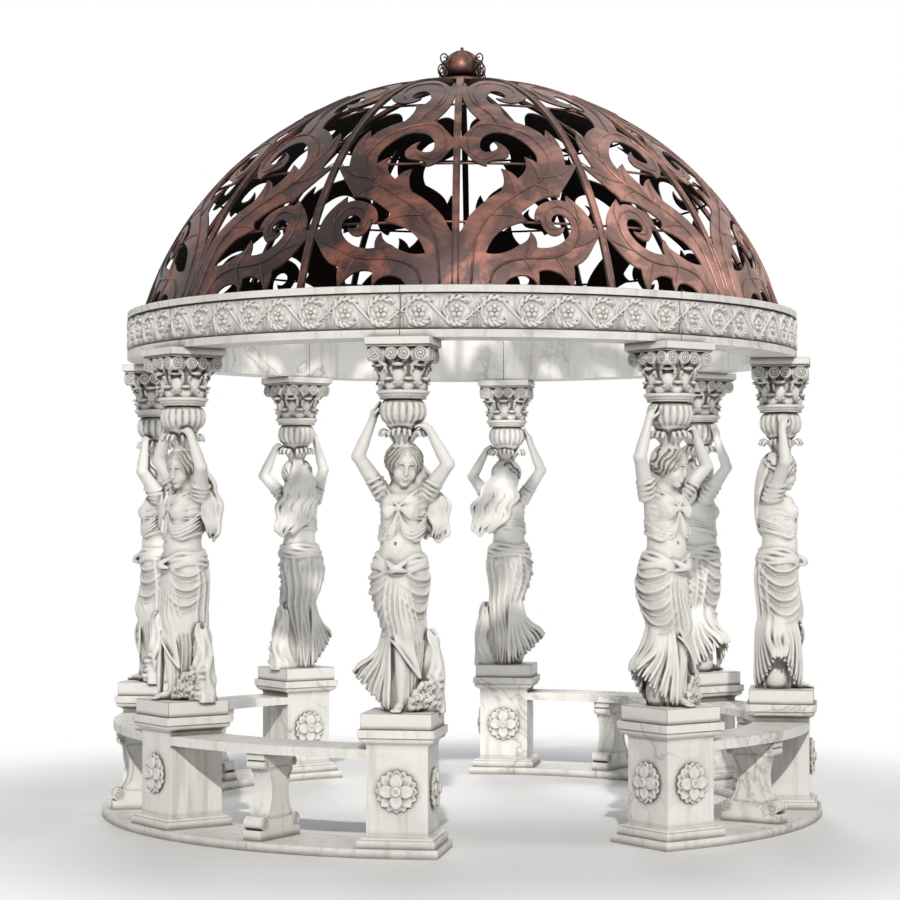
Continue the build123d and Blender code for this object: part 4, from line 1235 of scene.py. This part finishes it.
# %% Leaf veins
STEMS = (
    ((.096, .006), (.112, .072), (.143, .127), (.236, .178), (.348, .213), (.465, .242), (.574, .266),
     (.657, .289), (.737, .334), (.739, .380), (.630, .437), (.376, .475), (.176, .465), (.093, .415),
     (.120, .362), (.200, .345), (.290, .353), (.350, .372)),
    ((.211, .008), (.241, .037), (.323, .057), (.437, .067), (.633, .072), (.777, .100), (.845, .151),
     (.806, .190), (.732, .204), (.652, .196), (.611, .167), (.638, .144), (.708, .145)),
    ((.390, .480), (.340, .520), (.260, .560), (.205, .620), (.215, .680), (.300, .722), (.54, .742),
     (.76, .722), (.80, .668), (.68, .622)),
)
TIP_VEINS = (
    ((.437, .067), (.474, .042), (.505, .006)), ((.646, .072), (.690, .041), (.726, .006)),
    ((.439, .069), (.474, .103), (.492, .130)), ((.240, .177), (.363, .176), (.478, .165)),
    ((.577, .267), (.663, .255), (.742, .234)), ((.423, .237), (.400, .286), (.346, .310)),
    ((.623, .285), (.600, .326), (.550, .352)), ((.658, .288), (.806, .300), (.97, .344)),
    ((.743, .349), (.835, .400), (.835, .455)), ((.783, .098), (.900, .114), (.97, .134)),
    ((.849, .161), (.849, .203), (.797, .233)), ((.27, .545), (.16, .60), (.09, .735)),
)
veins = []
for side in (1, -1):
    veins += [dome_wire(stem, (0.0065, 0.0065, 0.006, 0.005), 4, side) for stem in STEMS]
    veins += [dome_wire(vein, (0.0055, 0.005, 0.0025), 5, side) for vein in TIP_VEINS]
vein_mesh = wire_mesh("leaf_veins", veins)
round_the_axis(vein_mesh, "leaf_veins", None, dome_metal.material,
               [STEM_TURN + 2 * BAY * bay for bay in range(BAYS)])

# %% [markdown]
# Every rib is a flat bar with a bead along both edges, so its middle reads as a dark groove.

# %% Rib beads
RIB_HALF, BEAD = 0.0135, 0.0042
rise = np.linspace(0.006, 0.995, 44)
beads = []
for side in (-1, 1):
    points = on_dome(0.0 * rise, rise) + np.array((side * RIB_HALF, 0.0, 0.0))
    beads.append(tube(points, (BEAD, BEAD), (points - dome_centre) / DOME_RADIUS, 6))
bead_mesh = wire_mesh("rib_beads", beads)
round_the_axis(bead_mesh, "rib_beads", None, dome_metal.material,
               [STEM_TURN + BAY * rib for rib in range(2 * BAYS)])

# %% [markdown]
# Four pairs of thin wire scrolls lean on the ball at the top. The lower one stands on the crown
# plate as a wide loop, the upper one turns the other way, and both end in an inward curl. A
# scroll is a circle whose radius shrinks over its last part, drawn in a plane through the axis.


# %% Finial scrolls
CROWN_TOP = float(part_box("dome_crown")[1][2])
WIRE, SCROLL_POINTS, CURL_SHARE = 0.004, 46, 0.45


def scroll(reach, height, radius, start, turns, way):
    """Points of one scroll, as distance from the axis and height."""
    t = np.linspace(0, 1, SCROLL_POINTS)
    a = start + way * turns * math.tau * t
    r = radius * (1 - 0.72 * np.clip((t - CURL_SHARE) / (1 - CURL_SHARE), 0, 1) ** 1.4)
    return np.stack([0 * t, -(reach + r * np.cos(a)), CROWN_TOP + height + r * np.sin(a)], -1)


loops = []
for points in (scroll(0.1403, 0.0383, 0.034, -math.pi * 0.62, 1.65, 1),
               scroll(0.1295, 0.1015, 0.028, -math.pi * 0.45, 1.6, -1)):
    loops.append(tube(points, (WIRE, WIRE, WIRE * 0.85), np.tile((1.0, 0.0, 0.0), (len(points), 1)), 8))
scroll_mesh = wire_mesh("finial_scroll", loops)
round_the_axis(scroll_mesh, "finial_scroll", "finial_wires", dome_metal.material,
               [STEM_TURN + math.radians(45 + 90 * number) for number in range(4)])

# %% [markdown]
# The bench brackets are marble consoles with rolled corners. Each roll shows a spiral on both
# ends, and a fillet line follows the waist between them. They are raised lines on the plain
# slab of the CAD part, so round wires half sunk in the stone are enough.


# %% Bracket scrolls
def bracket_spiral(across, height, radius, way, face):
    """Points of a spiral on one end of a roll, from its rim to its eye."""
    t = np.linspace(0, 1, 40)
    a = math.pi / 2 + way * 2.2 * math.tau * t
    r = radius * (1 - 0.84 * t)
    return np.stack([0 * t + face, across - way * r * np.cos(a), height + r * np.sin(a)], -1)


BRACKET_HALF, BENCH_MIDDLE, FILLET = 0.050, 1.678, 0.0032
# place across, height and radius of the lower and upper roll, and the thickness of the line
ROLLS = ((0.121, 0.117, 0.0275, 0.0045), (0.107, 0.386, 0.0178, 0.0035))
WAIST = [(0.086, 0.142), (0.062, 0.190), (0.050, 0.2515), (0.060, 0.315), (0.080, 0.362)]
waist = curve_through(WAIST + [(-u, w) for u, w in WAIST[::-1]] + WAIST[:1], 6)
lines = []
for face in (-BRACKET_HALF, BRACKET_HALF):
    facing = (math.copysign(1.0, face), 0.0, 0.0)
    for side in (-1, 1):
        for across, height, radius, thick in ROLLS:
            points = bracket_spiral(side * across, height, radius, side, face)
            lines.append(tube(points, (thick, thick, thick * 0.7), np.tile(facing, (len(points), 1)), 6))
    points = np.stack([np.full(len(waist), face), waist[:, 0], waist[:, 1]], -1)
    lines.append(tube(points, (FILLET, FILLET), np.tile(facing, (len(points), 1)), 6))
bracket_mesh = wire_mesh("bracket_scrolls", lines)
bench_turns = (45, 90, 135, 225, 270, 315)
for bench in bench_turns:
    turn = math.radians(bench)
    stand_for(bracket_mesh, f"bracket_scrolls_{bench}", None, block_marble,
              (BENCH_MIDDLE * math.sin(turn), -BENCH_MIDDLE * math.cos(turn), 0), turn)
print("bracket scrolls placed:", len(bench_turns))

# %% [markdown]
# The studio is a pale floor under a soft sky. The floor keeps the object's shadow and fades to
# plain white away from it, so no horizon shows. Only rays that the camera, a mirror or glass
# sends see that white, so it adds no light to the object.

# %% Floor
FLOOR_HALF, FLOOR_DROP = 40, 0.001
FADE_START, FADE_END = 2.2, 4.2
WHITE = (1, 1, 1, 1)
floor_mesh = bpy.data.meshes.new("studio_floor")
corners = ((-1, -1), (1, -1), (1, 1), (-1, 1))
floor_mesh.from_pydata([(FLOOR_HALF * u, FLOOR_HALF * w, 0) for u, w in corners], [], [(0, 1, 2, 3)])
floor = bpy.data.objects.new("studio_floor", floor_mesh)
floor.location.z = -FLOOR_DROP
scene.collection.objects.link(floor)
ground = Finish("studio_floor")
ground.set(Base_Color=(0.80, 0.80, 0.80, 1), Roughness=0.9)
away = ground.vector("LENGTH", ground.place(), output="Value")
camera_ray, mirror_ray, glass_ray = (ground.add("ShaderNodeLightPath", output=f"Is {kind} Ray")
                                     for kind in ("Camera", "Glossy", "Transmission"))
white = ground.add("ShaderNodeEmission", {}, {"Color": WHITE, "Strength": 1.0})
faded = ground.add("ShaderNodeMixShader", {}, {
    0: away.between(FADE_START, FADE_END) * (camera_ray + mirror_ray + glass_ray),
    1: Value(ground, ground.shader.outputs[0]), 2: white})
ground.tree.links.new(faded.socket, ground.tree.nodes["Material Output"].inputs["Surface"])
floor_mesh.materials.append(ground.material)
print("floor placed, fading from", FADE_START, "to", FADE_END, "m")

# %% [markdown]
# The sky does the same: it lights the object with a weak blue fill, and the camera, mirrors and
# glass see a white background.

# %% Sky
SKY_FILL = 0.15
world = bpy.data.worlds.new("studio_sky")
scene.world = world
world.use_nodes = True
sky = world.node_tree
rays = sky.nodes.new("ShaderNodeLightPath")
fill = sky.nodes["Background"]
fill.inputs["Color"].default_value = (0.88, 0.94, 1.0, 1)
fill.inputs["Strength"].default_value = SKY_FILL
backdrop = sky.nodes.new("ShaderNodeBackground")
backdrop.inputs["Color"].default_value = WHITE
backdrop.inputs["Strength"].default_value = 1.0
camera_or_glossy, any_seen = sky.nodes.new("ShaderNodeMath"), sky.nodes.new("ShaderNodeMath")
sky.links.new(rays.outputs["Is Camera Ray"], camera_or_glossy.inputs[0])
sky.links.new(rays.outputs["Is Glossy Ray"], camera_or_glossy.inputs[1])
sky.links.new(camera_or_glossy.outputs[0], any_seen.inputs[0])
sky.links.new(rays.outputs["Is Transmission Ray"], any_seen.inputs[1])
pick = sky.nodes.new("ShaderNodeMixShader")
sky.links.new(any_seen.outputs[0], pick.inputs[0])
sky.links.new(fill.outputs[0], pick.inputs[1])
sky.links.new(backdrop.outputs[0], pick.inputs[2])
sky.links.new(pick.outputs[0], sky.nodes["World Output"].inputs["Surface"])
print("sky fill:", SKY_FILL)

# %% [markdown]
# The key light is a low, sharp sun from the front left, as the shadows on the real one show. A
# weak wide sun from the right and one from behind keep the other sides readable, and a large soft
# lamp under the dome stands for the light that the pale paving throws up. It is hidden from the
# camera.


# %% Lamps
def sun(name, from_turn, elevation, energy, angle, colour):
    """A sun lamp from a turn counted from the front towards the right."""
    data = bpy.data.lights.new(name, "SUN")
    data.energy, data.angle, data.color = energy, math.radians(angle), colour
    lamp = bpy.data.objects.new(name, data)
    lamp.rotation_euler = (math.radians(90 - elevation), 0.0, math.radians(from_turn))
    scene.collection.objects.link(lamp)
    return lamp


sun("key_sun", -13, 30, 2.55, 1.5, (1.0, 0.97, 0.93))
sun("side_sun", 62, 44, 0.48, 30, (1.0, 0.98, 0.96))
sun("back_sun", 170, 48, 0.9, 15, (0.95, 0.97, 1.0)).visible_glossy = False
BOUNCE_POWER, BOUNCE_SIZE, BOUNCE_PLACE, BOUNCE_TILT = 24.0, 1.6, (0.0, -0.8, 2.0), math.radians(92)
bounce_data = bpy.data.lights.new("inner_bounce", "AREA")
bounce_data.energy, bounce_data.size = BOUNCE_POWER, BOUNCE_SIZE
bounce = bpy.data.objects.new("inner_bounce", bounce_data)
bounce.location, bounce.rotation_euler = BOUNCE_PLACE, (BOUNCE_TILT, 0.0, 0.0)
bounce.visible_camera = False
scene.collection.objects.link(bounce)
print("lamps placed:", len(bpy.data.lights))
